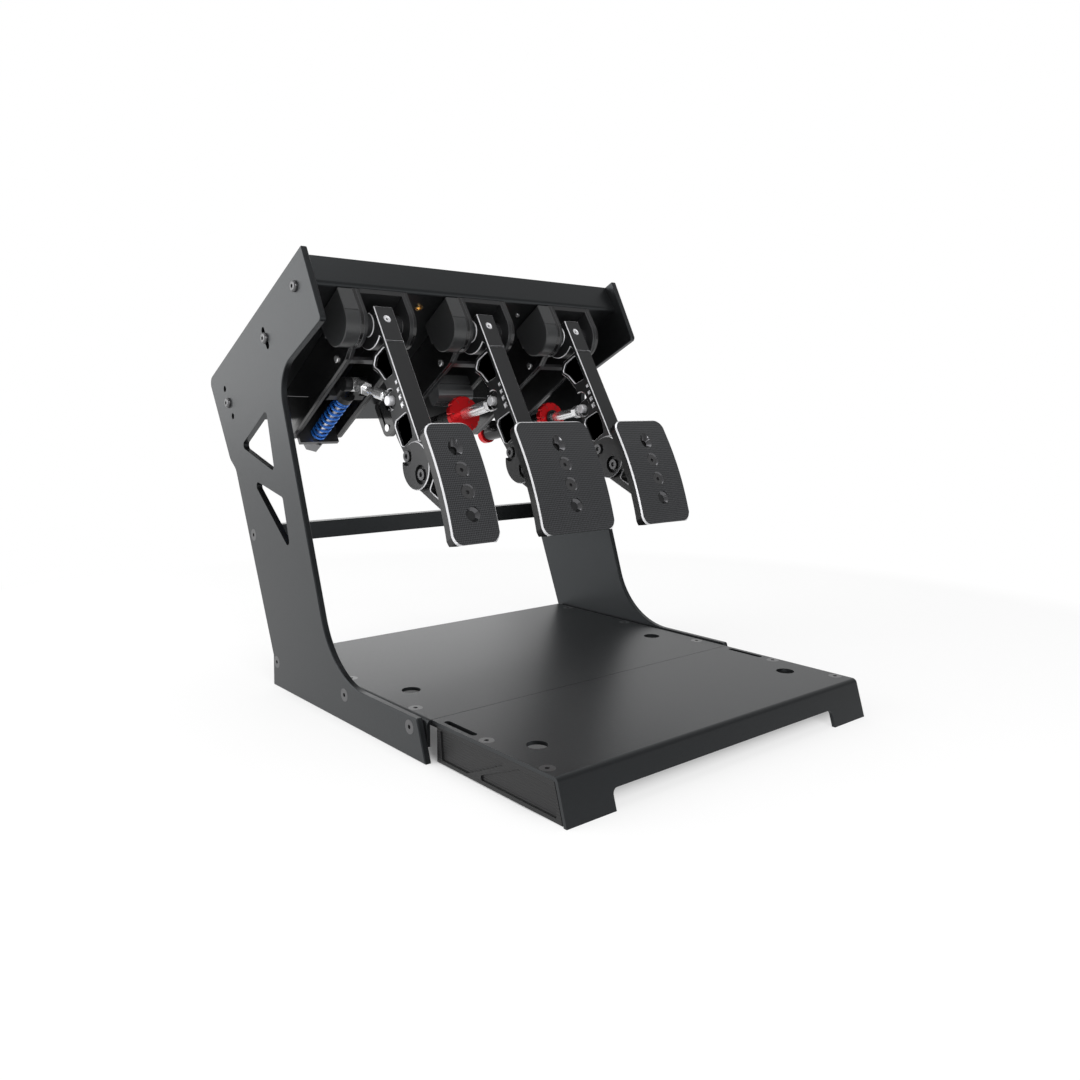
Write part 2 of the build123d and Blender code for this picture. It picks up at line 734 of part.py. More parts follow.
def arm_body(name):
    """Milled arm: front web, two walls with windows, hub, link lugs and joint discs."""
    reach = link_reaches[name]
    hub = Circle(hub_radius) - Pos(0, arm_top + hub_radius) * Rectangle(4 * hub_radius, 2 * hub_radius)
    hub -= Pos(-arm_face - hub_radius, 0) * Rectangle(2 * hub_radius, 4 * hub_radius)
    web = outline(
        [(-arm_face, arm_top), (0, arm_top), (0, 0), (arm_web - arm_face, -hub_radius), (arm_web - arm_face, joint_z * 0.9), (-arm_face, joint_z * 0.89)],
        [arm_top - over, 0, 0, 0, 0, 0],
    )
    walls = arm_outline(wall_shares, [share * arm_length for share in wall_corner_shares])
    arm = slab(hub + web, -half_arm, half_arm) + slab(walls, -half_arm, half_arm)
    arm += bar_x(joint_y, joint_z, joint_radius, -joint_face, joint_face)
    low = -joint_z * 0.9
    cavity_top = -0.175 * arm_length
    arm -= block(-half_void, half_void, arm_web - arm_face, arm_length, -low, cavity_top)
    arm -= bar_x(joint_y, joint_z, joint_radius + over, -half_tongue, half_tongue)
    for shares in (upper_window_arm_shares, lower_window_arm_shares):
        arm -= slab(arm_outline(shares, window_corner_share * arm_length), -half_arm - over, half_arm + over)
    for low_share, high_share in rib_shares:
        rear = 0.04 * arm_length
        arm += block(-half_void, half_void, arm_web - arm_face, rear, -high_share * arm_length, -low_share * arm_length)
    arm += bar_x(0, 0, hub_boss, -inner_half + face_gap, inner_half - face_gap)
    arm -= bar_x(0, 0, axle_radius + running_gap, -inner_half, inner_half)
    lug = Pos(link_rear, -reach) * Circle(link_lug)
    lug += Pos((link_rear - arm_face + arm_web) / 2, -reach) * Rectangle(link_rear + arm_face - arm_web, 2 * link_lug)
    arm += slab(lug, -half_arm, half_arm)
    arm -= bar_x(link_rear, -reach, link_eye + over, -link_eye_width / 2 - fit_gap, link_eye_width / 2 + fit_gap)
    arm -= block(-link_eye_width / 2 - fit_gap, link_eye_width / 2 + fit_gap, link_rear, arm_length, -reach - link_eye - over, link_eye + over - reach)
    scallop_y, scallop_z = arm_point(scallop_share)
    scallop = Pos(scallop_y, -reach) * Circle(scallop_radius)
    scallop += Pos(scallop_y, scallop_z) * Circle(scallop_radius)
    arm -= slab(scallop, half_void, half_arm + over)
    arm -= slab(scallop, -half_arm - over, -half_void)
    arm -= bar_x(link_rear, -reach, link_bolt_radius + fit_gap, -half_arm, half_arm)
    for share in joint_bolt_shares:
        y, z = arm_point(share)
        arm -= bar_x(y, z, screw_radius + fit_gap, -joint_face - over, joint_face + over)
        for sign in (1, -1):
            sink = bar_x(y, z, joint_counterbore, 0, counterbore_depth + over)
            arm -= Pos(joint_face - counterbore_depth if sign > 0 else -joint_face - over, 0, 0) * sink
    for share in etch_shares:
        y, z = arm_point(share)
        size = etch_size * (0.55 + 0.45 * (share[0] - 0.463) / 0.148)
        mark = Pos(y, z) * Rectangle(size, size)
        arm -= slab(mark, -half_arm, etch_depth - half_arm) + slab(mark, half_arm - etch_depth, half_arm)
    arm -= facing((0, -arm_face, -arm_top / 2), (0, -1, 0)) * bar_z(0, 0, screw_radius, -over, over)
    return arm


def pad_strip(front, back, extra):
    """Side view of the pedal face: straight above, curving back below."""
    flat_end = -pad_top - pad_flat
    sweep = degrees((pad_height - pad_flat + extra) / pad_curve_radius)
    centre = pad_curve_radius - pad_face
    front_line = Line((front, extra - pad_top), (front, flat_end))
    front_arc = CenterArc((centre, flat_end), centre - front, half_turn, sweep)
    rear_arc = CenterArc((centre, flat_end), centre - back, half_turn, sweep)
    rear_line = Line((back, flat_end), (back, extra - pad_top))
    foot = Line(front_arc @ 1, rear_arc @ 1)
    head = Line(rear_line @ 1, front_line @ 0)
    return make_face([front_line, front_arc, foot, rear_arc, rear_line, head])


def pad_blank(breadth, front, back, shrink):
    """Curved plate of rounded outline between two depths."""
    strip = slab(pad_strip(front, back, over), -breadth, breadth)
    tall = pad_height - 2 * shrink
    face = RectangleRounded(breadth - 2 * shrink, tall, pad_corner - shrink)
    middle = -pad_top - pad_height / 2
    punch = extrude(Plane.XZ * Pos(0, middle) * face, amount=arm_length)
    return strip & punch


def pad_hole_places():
    """Heights of the four holes in a pedal face."""
    return [-pad_top - pad_first_hole - step * pad_hole_pitch for step in range(4)]


def pad_front_at(z):
    """Depth of the pedal face at a height."""
    below = max(0, -pad_top - pad_flat - z)
    return -pad_face + pad_curve_radius - (pad_curve_radius ** 2 - below ** 2) ** 0.5


def pad(name):
    """Curved pedal face with countersunk holes and a bright bevelled rim."""
    breadth = pad_widths[name]
    plate = pad_blank(breadth, pad_rim - pad_face, pad_thickness - pad_face, 0)
    plate += pad_blank(breadth, -pad_face, pad_rim + over - pad_face, pad_rim)
    for z in pad_hole_places():
        place = facing((0, pad_front_at(z), z), (0, -1, 0))
        plate -= place * bar_z(0, 0, pad_hole_radius, -2 * pad_thickness, over)
        cone = extrude(Circle(pad_sink_radius), amount=pad_hole_radius - pad_sink_radius, taper=45.0)
        plate -= place * cone + place * bar_z(0, 0, pad_sink_radius, 0, pad_thickness)
    return plate


def pad_carrier(name):
    """Bracket from the joint discs to the back of the pedal face."""
    tongue_body = slab(Pos(joint_y, joint_z) * Circle(joint_radius - over), -half_tongue + fit_gap, half_tongue - fit_gap)
    bracket = slab(arm_outline(carrier_shares, 0), -half_tongue + fit_gap, half_tongue - fit_gap)
    flange_low = -1.56 * arm_length
    flange = block(-pad_flange_width / 2, pad_flange_width / 2, -pad_face, pad_thickness + pad_flange - pad_face + over, flange_low, -0.985 * arm_length)
    curve = pad_strip(pad_thickness - pad_face, pad_thickness + pad_flange - pad_face, over)
    flange &= slab(curve, -pad_flange_width, pad_flange_width)
    bracket -= slab(pad_strip(-pad_face - pad_thickness, pad_thickness - pad_face, arm_length), -arm_length, arm_length)
    carrier = tongue_body + bracket + flange
    carrier -= slab(arm_outline(carrier_window_shares, window_corner_share * arm_length), -arm_width, arm_width)
    for share in joint_bolt_shares:
        y, z = arm_point(share)
        carrier -= bar_x(y, z, screw_radius + fit_gap, -half_tongue - over, half_tongue + over)
    for z in pad_hole_places()[1:3]:
        place = facing((0, pad_front_at(z), z), (0, -1, 0))
        carrier -= place * bar_z(0, 0, screw_radius + fit_gap, -3 * pad_thickness, 0)
    return carrier


def arm_bolts(name):
    """Socket screws of the joint discs and the two screws of the pedal face."""
    bolts = []
    for share in joint_bolt_shares:
        y, z = arm_point(share)
        seat = joint_face - counterbore_depth
        bolt = cap_screw(2 * seat, joint_bolt_head, counterbore_depth)
        bolts.append(facing((-seat, y, z), (-1, 0, 0)) * bolt)
    screw = flat_screw(pad_thickness + pad_flange)
    sink = pad_sink_radius - flat_head - fit_gap
    for z in pad_hole_places()[1:3]:
        bolts.append(facing((0, pad_front_at(z) + sink, z), (0, -1, 0)) * screw)
    bolts.append(link_bolt(name))
    return Compound([bolt.solid() for bolt in bolts])


def link_bolt(name):
    """Bolt across the arm's lugs that carries the rod end."""
    reach = link_reaches[name]
    head = slab(Pos(link_rear, -reach) * hex_face(rod_nut), -half_arm, -half_void)
    nut = slab(Pos(link_rear, -reach) * hex_face(rod_nut), half_void, half_arm)
    return head + nut + bar_x(link_rear, -reach, link_bolt_radius, -half_arm, half_arm)


# Linkage rods run in the module's side view, from the arm's bolt
def arm_to_module(y, z):
    """Side-view point of the arm frame in the module frame."""
    lean = radians(arm_lean)
    return pivot_reach + y * cos(lean) - z * sin(lean), -pivot_drop + y * sin(lean) + z * cos(lean)


link_points = {name: arm_to_module(link_rear, -reach) for name, reach in link_reaches.items()}
strut_end = (strut_end_reach, -strut_end_drop)
carriage_pin = (carriage_reach, -carriage_drop)


def along_link(name, target):
    """Placement with Z from the arm's bolt towards a target, and X across the module."""
    start = link_points[name]
    angle = degrees(atan2(target[1] - start[1], target[0] - start[0]))
    return Location((0, start[0], start[1]), (angle - quarter_turn, 0, 0))


def span(first, second):
    """Distance between two side-view points."""
    return hypot(second[0] - first[0], second[1] - first[1])


def eye(radius, breadth, bore):
    """Rod-end eye about X."""
    return bar_x(0, 0, radius, -breadth / 2, breadth / 2) - bar_x(0, 0, bore, -breadth, breadth)


def clutch_rod():
    """Rod end at the arm, turnbuckle nut and a second eye at the carriage."""
    reach = span(link_points["clutch"], carriage_pin)
    half_bore = link_bolt_radius + running_gap
    rod = bar_z(0, 0, rod_radius, link_eye / 2, reach - knuckle_radius / 2)
    rod += extrude(Plane.XY.offset(nut_start) * hex_face(rod_nut), amount=rod_nut * 0.8)
    rod += extrude(Plane.XY.offset(reach * 0.52) * hex_face(rod_nut), amount=rod_nut * 1.6)
    rod -= bar_x(0, 0, half_bore, -arm_width, arm_width)
    rod += eye(link_eye, link_eye_width, half_bore)
    rod += Pos(0, 0, reach) * bar_x(0, 0, knuckle_radius, -link_eye_width / 2, link_eye_width / 2)
    return rod - Pos(0, 0, reach) * bar_x(0, 0, link_bolt_radius + knuckle_slack, -arm_width, arm_width)


def clutch_carriage():
    """Carriage between the rails: clevis for the rod, slide head and spring seat."""
    start = carriage_reach + knuckle_radius + 2 * over
    head = block(-carriage_side, carriage_side, spring_start - carriage_head, spring_start, -carriage_drop - 2 * over, -carriage_drop + carriage_nose)
    ears = []
    for sign in (1, -1):
        ear = Pos(carriage_reach, -carriage_drop) * Circle(knuckle_radius)
        tail = outline(
            [(carriage_reach, -carriage_drop - 2 * over), (spring_start, -carriage_drop - 2 * over), (spring_start, -carriage_drop + knuckle_radius), (carriage_reach, -carriage_drop + knuckle_radius)],
            0,
        )
        low = link_eye_width / 2 + face_gap
        ears.append(slab(ear + tail, low, low + 2 * cheek) if sign > 0 else slab(ear + tail, -low - 2 * cheek, -low))
    body = head + ears[0] + ears[1]
    body += bar_x(carriage_reach, -carriage_drop, link_bolt_radius, -link_eye_width, link_eye_width)
    seat = facing((0, spring_start, -carriage_drop), (0, 1, 0))
    body += seat * bar_z(0, 0, spring_radius + spring_wire / 2, -carriage_head, 0)
    body -= seat * bar_z(0, 0, guide_radius + fit_gap, start - spring_start, over)
    return body


def biarc(start, start_dir, finish, finish_dir):
    """Two arcs that join two points and keep both directions."""
    step = finish - start
    both = start_dir + finish_dir
    turn = 2 * (1 - start_dir.dot(finish_dir))
    root = (step.dot(both) ** 2 + turn * step.dot(step)) ** 0.5
    reach = (root - step.dot(both)) / turn
    first = start + start_dir * reach
    second = finish - finish_dir * reach
    middle = (first + second) * 0.5
    join_dir = (second - first).normalized()
    return [Edge.make_tangent_arc(start, start_dir, middle), Edge.make_tangent_arc(middle, join_dir, finish)]


def helix_point(angle, rise, radius):
    """Point on a helix and its direction there."""
    point = Vector(radius * cos(angle), radius * sin(angle), rise)
    return point


def spring_path():
    """Edges of the spring's centre line: straight end, helix, straight end."""
    lead = radians(50.0)
    lift = spring_wire + spring_radius * 0.5
    climb = spring_length - 2 * lift
    total = spring_turns * 2 * pi
    slope = climb / total
    halves = 2 * spring_turns
    angles = [lead + total * step / halves for step in range(halves + 1)]
    points = [helix_point(angle, lift + slope * (angle - lead), spring_radius) for angle in angles]
    dirs = [Vector(-spring_radius * sin(a), spring_radius * cos(a), slope).normalized() for a in angles]
    up = Vector(0, 0, 1)
    foot = Vector(spring_radius, 0, 0)
    foot_top = Vector(spring_radius, 0, spring_wire)
    last = angles[-1] + lead
    head = Vector(spring_radius * cos(last), spring_radius * sin(last), spring_length)
    head_low = head - up * spring_wire
    edges = [Edge.make_line(foot, foot_top)]
    edges += biarc(foot_top, up, points[0], dirs[0])
    for step in range(halves):
        edges += biarc(points[step], dirs[step], points[step + 1], dirs[step + 1])
    edges += biarc(points[-1], dirs[-1], head_low, up)
    edges.append(Edge.make_line(head_low, head))
    return edges


def least_gap(edges, wire):
    """Least clear gap between stretches of the wire more than half a turn apart."""
    samples = [edge @ (step / 6) for edge in edges for step in range(6)]
    apart = ceil(len(samples) / (2 * spring_turns))
    gaps = []
    for index, point in enumerate(samples):
        for other in samples[index + apart:]:
            gaps.append((point - other).length - wire)
    return min(gaps)


def clutch_spring():
    """Return spring wound from one wire."""
    edges = spring_path()
    print("spring least gap to itself, mm:", round(least_gap(edges, spring_wire), 2))
    path = Wire(edges)
    section = Plane(origin=path @ 0, z_dir=path % 0) * Circle(spring_wire / 2)
    return sweep(section, path=path)


def module_end_plate():
    """Cross plate at the rear of the clutch's rails."""
    start = spring_start + spring_length
    plate = block(-inner_half, inner_half, start, start + end_plate, -rail_drop - spring_radius, -base_plate)
    return plate - facing((0, start, -carriage_drop), (0, 1, 0)) * bar_z(0, 0, guide_radius + fit_gap, -over, end_plate + over)


def clutch_guide_rod():
    """Rod through the spring, fixed in the rear cross plate."""
    start = carriage_reach + knuckle_radius + carriage_travel
    finish = spring_start + spring_length + end_plate + preload_nut_length - over
    return facing((0, start, -carriage_drop), (0, 1, 0)) * bar_z(0, 0, guide_radius, 0, finish - start)


def preload_nut():
    """Hexagonal nut at the rear end of the guide rod."""
    start = spring_start + spring_length + end_plate
    nut = extrude(hex_face(preload_nut_radius), amount=preload_nut_length)
    nut -= bar_z(0, 0, guide_radius + running_gap, -over, preload_nut_length + over)
    return facing((0, start, -carriage_drop), (0, 1, 0)) * nut


def dial(radius, bore):
    """Preload dial with a notched rim."""
    disc = bar_z(0, 0, radius, 0, dial_thickness)
    disc = chamfer(disc.edges().filter_by(GeomType.CIRCLE), edge_break)
    for step in range(dial_notches):
        angle = 2 * pi * step / dial_notches
        disc -= bar_z(radius * cos(angle), radius * sin(angle), dial_notch, -over, dial_thickness + over)
    return disc - bar_z(0, 0, bore, -over, dial_thickness + over)


def strut_rod(name, radius, finish):
    """Rod end, neck and shaft of a strut."""
    bore = link_bolt_radius + running_gap
    neck = bar_z(0, 0, min(radius, rod_radius), link_eye / 2, finish)
    rod = neck + bar_z(0, 0, radius, nut_start, finish) - bar_x(0, 0, bore, -arm_width, arm_width)
    return rod + eye(link_eye, link_eye_width, bore)


def brake_rod():
    """Brake rod with its long hexagonal coupling and a thrust collar."""
    finish = brake_stack_start + brake_stack_length + tube_wall + 3 * brake_tube_radius
    rod = strut_rod("brake", brake_rod_radius, finish)
    rod += extrude(Plane.XY.offset(coupling_start) * hex_face(coupling_radius), amount=coupling_length)
    rod += extrude(Plane.XY.offset(nut_start) * hex_face(rod_nut), amount=coupling_radius)
    return rod


def throttle_rod():
    """Slim throttle rod with its jam nut and a piston shoulder inside the tube."""
    finish = throttle_shoulder + 2 * throttle_tube_radius
    rod = strut_rod("throttle", throttle_rod_radius, finish)
    rod += extrude(Plane.XY.offset(coupling_start - coupling_radius) * hex_face(rod_nut), amount=coupling_radius)
    shoulder = throttle_tube_radius - tube_wall - slide_slack
    return rod + bar_z(0, 0, shoulder, throttle_shoulder, throttle_shoulder + tube_wall)


def elastomer_ring(step):
    """One ring of the brake's elastomer stack."""
    each = brake_stack_length / brake_stack_rings
    low = brake_stack_start + step * each
    ring = bar_z(0, 0, brake_stack_radius, low, low + each - fit_gap)
    ring = fillet(ring.edges().filter_by(GeomType.CIRCLE), over)
    return ring - bar_z(0, 0, brake_rod_radius + face_gap, low - over, low + each + over)


def lug_block(name, radius, finish):
    """Lug that hangs a strut's tube from the pin across the cheeks."""
    start = link_points[name]
    direction = along_link(name, strut_end)
    offset = span(start, (lug_reach, -lug_drop))
    axis_angle = atan2(strut_end[1] - start[1], strut_end[0] - start[0])
    pin_angle = atan2(-lug_drop - start[1], lug_reach - start[0])
    along = offset * cos(pin_angle - axis_angle)
    rise = offset * sin(pin_angle - axis_angle)
    half = link_eye_width
    body = bar_x(-rise, along, strut_pin_radius + 3 * over, -half, half)
    body += block(-half, half, -rise, 0, along - strut_pin_radius - 3 * over, along + strut_pin_radius + 3 * over)
    return body, (-rise, along)


def strut_tube(name, radius, rod_radius, start, finish, void_end):
    """Tube that a strut's rod slides in, with its pivot lug."""
    lug, (pin_y, pin_z) = lug_block(name, radius, finish)
    tube = bar_z(0, 0, radius, start, finish) + lug
    tube -= bar_z(0, 0, rod_radius + slide_slack, start - over, void_end)
    return tube - bar_x(pin_y, pin_z, strut_pin_radius + running_gap, -arm_width, arm_width)


def strut_pin():
    """Pin across the cheeks at the rear lug."""
    return bar_x(lug_reach, -lug_drop, strut_pin_radius, -cover_outer, cover_outer)


def load_block():
    """Load-cell block between the brake's cheeks, with a groove across its face."""
    points = [
        (load_block_start, -load_block_top),
        (load_block_end, -load_block_top),
        (load_block_end, -load_block_drop),
        (load_block_start, -load_block_drop),
    ]
    radii = [load_block_groove, load_block_groove, load_block_groove, load_block_radius]
    body = slab(outline(points, radii), -inner_half, inner_half)
    middle = -load_block_top - 0.45 * (load_block_drop - load_block_top)
    groove = block(-inner_half, inner_half, 0, load_block_start + load_block_groove, middle - load_block_groove / 2, middle + load_block_groove / 2)
    return body - groove


def throttle_knob():
    """Round knob at the strut's rear end, with its centre screw."""
    start = span(link_points["throttle"], strut_end)
    knob = bar_z(0, 0, knob_radius, start, start + knob_thickness)
    return chamfer(knob.edges().filter_by(GeomType.CIRCLE), edge_break)


def save_module_pieces():
    """Write every piece of the three pedal modules."""
    cheek_right = cheek_plate()
    cover_right = cover_plate()
    for name, centre in module_centres.items():
        module = deck_place * Pos(centre, 0, 0)
        arm_frame = module * Location((0, pivot_reach, -pivot_drop), (arm_lean, 0, 0))
        save(f"{name}_cheek_right", module * cheek_right)
        save(f"{name}_cheek_left", module * mirrored(cheek_right))
        save(f"{name}_side_covers", module * both_sides(cover_right))
        save(f"{name}_base_block", module * base_block())
        save(f"{name}_arm", arm_frame * arm_body(name))
        save(f"{name}_pad", arm_frame * pad(name))
        save(f"{name}_pad_carrier", arm_frame * pad_carrier(name))
        save(f"{name}_arm_bolts", arm_frame * arm_bolts(name))


save_module_pieces()


def in_modules(shape, names):
    """Copies of one piece, one in each named module."""
    copies = [deck_place * Pos(module_centres[name], 0, 0) * shape for name in names]
    return Compound([copy.solid() for copy in copies])


save("neck_stops", in_modules(neck_stop(), module_centres))
save("angle_sensors", in_modules(sensor_housing(), module_centres))
save("pivot_axles", in_modules(pivot_axle(), module_centres))
clutch = deck_place * Pos(module_centres["clutch"], 0, 0)
save("clutch_rod", clutch * along_link("clutch", carriage_pin) * clutch_rod())
save("clutch_carriage", clutch * clutch_carriage())
save("clutch_spring", clutch * facing((0, spring_start, -carriage_drop), (0, 1, 0)) * clutch_spring())
save("clutch_end_plate", clutch * module_end_plate())
save("clutch_guide_rod", clutch * clutch_guide_rod())
save("clutch_preload_nut", clutch * preload_nut())

brake = deck_place * Pos(module_centres["brake"], 0, 0)
brake_strut = brake * along_link("brake", strut_end)
save("brake_rod", brake_strut * brake_rod())
brake_dial = Pos(0, 0, dial_start) * dial(brake_dial_radius, brake_rod_radius + running_gap)
save("brake_dial", brake_strut * brake_dial)
stack = Compound([elastomer_ring(step).solid() for step in range(brake_stack_rings)])
save("brake_elastomers", brake_strut * stack)
brake_void = brake_stack_start + brake_stack_length + 6 * brake_tube_radius
brake_tube_start = brake_stack_start + brake_stack_length
brake_finish = span(link_points["brake"], strut_end) - 2 * over
tube = strut_tube("brake", brake_tube_radius, brake_rod_radius, brake_tube_start, brake_finish, brake_void)
save("brake_tube", brake_strut * tube)
save("brake_load_block", brake * load_block())

throttle = deck_place * Pos(module_centres["throttle"], 0, 0)
throttle_strut = throttle * along_link("throttle", strut_end)
save("throttle_rod", throttle_strut * throttle_rod())
throttle_dial = Pos(0, 0, dial_start) * dial(throttle_dial_radius, throttle_tube_radius + running_gap)
save("throttle_dial", throttle_strut * throttle_dial)
throttle_void = throttle_shoulder + 6 * throttle_tube_radius
throttle_start = dial_start - 2 * over
throttle_finish = span(link_points["throttle"], strut_end)
bore = throttle_tube_radius - tube_wall - slide_slack
tube = strut_tube("throttle", throttle_tube_radius, bore, throttle_start, throttle_finish, throttle_void)
save("throttle_tube", throttle_strut * tube)
save("throttle_knob", throttle_strut * throttle_knob())
save("strut_pins", in_modules(strut_pin(), ["brake", "throttle"]))
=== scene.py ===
from collections import namedtuple
from math import cos, radians, sin

import bmesh
import bpy
import numpy as np
from mathutils import Matrix, Vector


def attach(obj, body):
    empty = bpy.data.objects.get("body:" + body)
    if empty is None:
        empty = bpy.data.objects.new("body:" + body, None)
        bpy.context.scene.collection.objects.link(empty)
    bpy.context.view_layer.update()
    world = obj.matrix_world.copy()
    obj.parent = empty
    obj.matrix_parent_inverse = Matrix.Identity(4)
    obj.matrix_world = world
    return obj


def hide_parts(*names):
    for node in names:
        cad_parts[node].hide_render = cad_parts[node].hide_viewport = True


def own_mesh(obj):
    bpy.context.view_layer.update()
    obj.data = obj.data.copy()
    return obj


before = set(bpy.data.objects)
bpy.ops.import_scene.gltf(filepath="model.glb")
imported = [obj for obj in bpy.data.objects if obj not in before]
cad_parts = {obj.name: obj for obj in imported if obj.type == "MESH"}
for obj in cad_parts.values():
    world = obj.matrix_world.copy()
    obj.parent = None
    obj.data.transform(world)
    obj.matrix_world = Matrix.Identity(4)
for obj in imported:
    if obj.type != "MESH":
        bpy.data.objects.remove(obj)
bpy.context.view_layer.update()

# Camera: a short lens low at the front left corner of the set, as if the photographer
# had crouched in front of the clutch pedal and looked slightly down.
CAMERA_AT = Vector((-0.5805, -0.7231, 0.2837))
CAMERA_YAW = 0.7016
CAMERA_DIP = 0.1469
CAMERA_ROLL = 0.0064
LENS_MM = 31.49
SENSOR_MM = 36.0
NEAREST = 0.01

forward = Vector((sin(CAMERA_YAW) * cos(CAMERA_DIP), cos(CAMERA_YAW) * cos(CAMERA_DIP), -sin(CAMERA_DIP)))
level = Vector((cos(CAMERA_YAW), -sin(CAMERA_YAW), 0.0))
upright = level.cross(forward)
right = cos(CAMERA_ROLL) * level + sin(CAMERA_ROLL) * upright
top = cos(CAMERA_ROLL) * upright - sin(CAMERA_ROLL) * level
camera_data = bpy.data.cameras.new("camera")
camera_data.lens = LENS_MM
camera_data.sensor_width = SENSOR_MM
camera_data.clip_start = NEAREST
camera = bpy.data.objects.new("camera", camera_data)
aim = Matrix((right, top, -forward)).transposed().to_4x4()
camera.matrix_world = Matrix.Translation(CAMERA_AT) @ aim
bpy.context.scene.collection.objects.link(camera)
bpy.context.scene.camera = camera
bpy.context.scene.view_settings.view_transform = "Standard"


# Studio: a wide sheet of white paper, a pale surround and five soft square lamps. The paper is
# plain white to the camera and in reflections, but for a faint shadow and painted shade under the heel
# plates.
class Sock:
    """A node's output in an expression: arithmetic on it adds Math nodes to its tree."""

    def __init__(self, graph, socket):
        self.graph = graph
        self.socket = socket

    def _math(self, operation, *inputs):
        return self.graph.node("ShaderNodeMath", {"operation": operation}, dict(enumerate(inputs)))

    def __add__(self, other):
        return self._math("ADD", self, other)

    def __sub__(self, other):
        return self._math("SUBTRACT", self, other)

    def __mul__(self, other):
        return self._math("MULTIPLY", self, other)

    def __truediv__(self, other):
        return self._math("DIVIDE", self, other)

    def __radd__(self, other):
        return self._math("ADD", other, self)

    def __rsub__(self, other):
        return self._math("SUBTRACT", other, self)

    def __abs__(self):
        return self._math("ABSOLUTE", self)

    def sine(self):
        return self._math("SINE", self)

    def most(self, other):
        return self._math("MAXIMUM", self, other)

    def least(self, other):
        return self._math("MINIMUM", self, other)

    def held(self):
        """The value, held between 0 and 1."""
        return self.most(0.0).least(1.0)


class Graph:
    """A node tree, built one expression at a time."""

    def __init__(self, tree):
        self.tree = tree

    def node(self, kind, settings=None, inputs=None, output=0):
        """One node of a kind, with its settings and then its sockets' values or links."""
        made = self.tree.nodes.new(kind)
        for key, value in (settings or {}).items():
            setattr(made, key, value)
        for key, value in (inputs or {}).items():
            self.put(made.inputs[key], value)
        return Sock(self, made.outputs[output])

    def put(self, socket, value):
        """Link an expression to a socket, or give the socket a value or a colour."""
        if isinstance(value, Sock):
            self.tree.links.new(value.socket, socket)
        elif isinstance(value, tuple) and len(value) == 3 and socket.type == "RGBA":
            socket.default_value = (*value, 1.0)
        else:
            socket.default_value = value

    def place(self, kind="Object"):
        """Place on the object, in its own coordinates, or another kind of coordinates."""
        return self.node("ShaderNodeTexCoord", output=kind)

    def axes(self, kind="Object"):
        """X, Y and Z of a place."""
        split = self.node("ShaderNodeSeparateXYZ", None, {0: self.place(kind)})
        return [Sock(self, output) for output in split.socket.node.outputs]

    def ray(self, kind):
        """1 on rays of a kind, such as those of the camera, and 0 on others."""
        return self.node("ShaderNodeLightPath", output=f"Is {kind} Ray")

    def noise(self, scale, detail, roughness):
        values = {"Vector": self.place(), "Scale": scale, "Detail": detail, "Roughness": roughness}
        return self.node("ShaderNodeTexNoise", None, values)

    def mix(self, factor, first, second):
        """Colour between two colours, which a Mix node takes at sockets 6 and 7 and gives at 2."""
        values = {"Factor": factor, 6: first, 7: second}
        return self.node("ShaderNodeMix", {"data_type": "RGBA"}, values, 2)

    def bump(self, height, strength, distance):
        values = {"Height": height, "Strength": strength, "Distance": distance}
        return self.node("ShaderNodeBump", None, values)


class Finish(Graph):
    """A material with one main shader."""

    def __init__(self, name):
        self.material = bpy.data.materials.new(name)
        self.material.use_nodes = True
        super().__init__(self.material.node_tree)
        self.shader = self.tree.nodes["Principled BSDF"]
        self.end = self.tree.nodes["Material Output"]

    def set(self, **values):
        """Values or links of the main shader's own sockets, by name with _ for a space."""
        for key, value in values.items():
            self.put(self.shader.inputs[key.replace("_", " ")], value)

    def blend(self, factor, other):
        """Mix another shader into the main one: the factor is the other's share."""
        inputs = {0: factor, 1: Sock(self, self.shader.outputs[0]), 2: other}
        self.put(self.end.inputs["Surface"], self.node("ShaderNodeMixShader", None, inputs))


WHITE = (1.0, 1.0, 1.0)
FLOOR_HALF = 9.0
FLOOR_COLOUR = (0.93, 0.93, 0.93)
SHADOW_REACH = 0.75
SHADOW_START = 0.45
PAPER_GLOW = 0.72
HEEL_HALF = (0.204, 0.200)
HEEL_MIDDLE = -0.069
HEEL_FADE = 0.03
HEEL_SHADE = 0.85
floor_mesh = bpy.data.meshes.new("floor")
corners = [(x * FLOOR_HALF, y * FLOOR_HALF, 0) for x, y in ((-1, -1), (1, -1), (1, 1), (-1, 1))]
floor_mesh.from_pydata(corners, [], [(0, 1, 2, 3)])
floor = bpy.data.objects.new("floor", floor_mesh)
bpy.context.scene.collection.objects.link(floor)
paper = Finish("white paper")
paper.set(Base_Color=FLOOR_COLOUR, Roughness=0.7, Specular_IOR_Level=0.1)
floor_x, floor_y = paper.axes()[:2]
far = (floor_x * floor_x + floor_y * floor_y) / SHADOW_REACH ** 2 - SHADOW_START
# Painted shade: inside the heel plates' footprint the paper's white glow is mostly taken away, so the floor
# shows darker there.
heel_shade_across = ((HEEL_HALF[0] - abs(floor_x)) / HEEL_FADE).held()
heel_shade_along = ((HEEL_HALF[1] - abs(floor_y - HEEL_MIDDLE)) / HEEL_FADE).held()
seen = paper.ray("Camera").most(paper.ray("Glossy"))
glow = paper.node("ShaderNodeEmission", None, {"Color": WHITE, "Strength": 1.0})
paper.blend(seen * far.most(PAPER_GLOW).least(1.0) * (1 - heel_shade_across * heel_shade_along * HEEL_SHADE), glow)
floor_mesh.materials.append(paper.material)

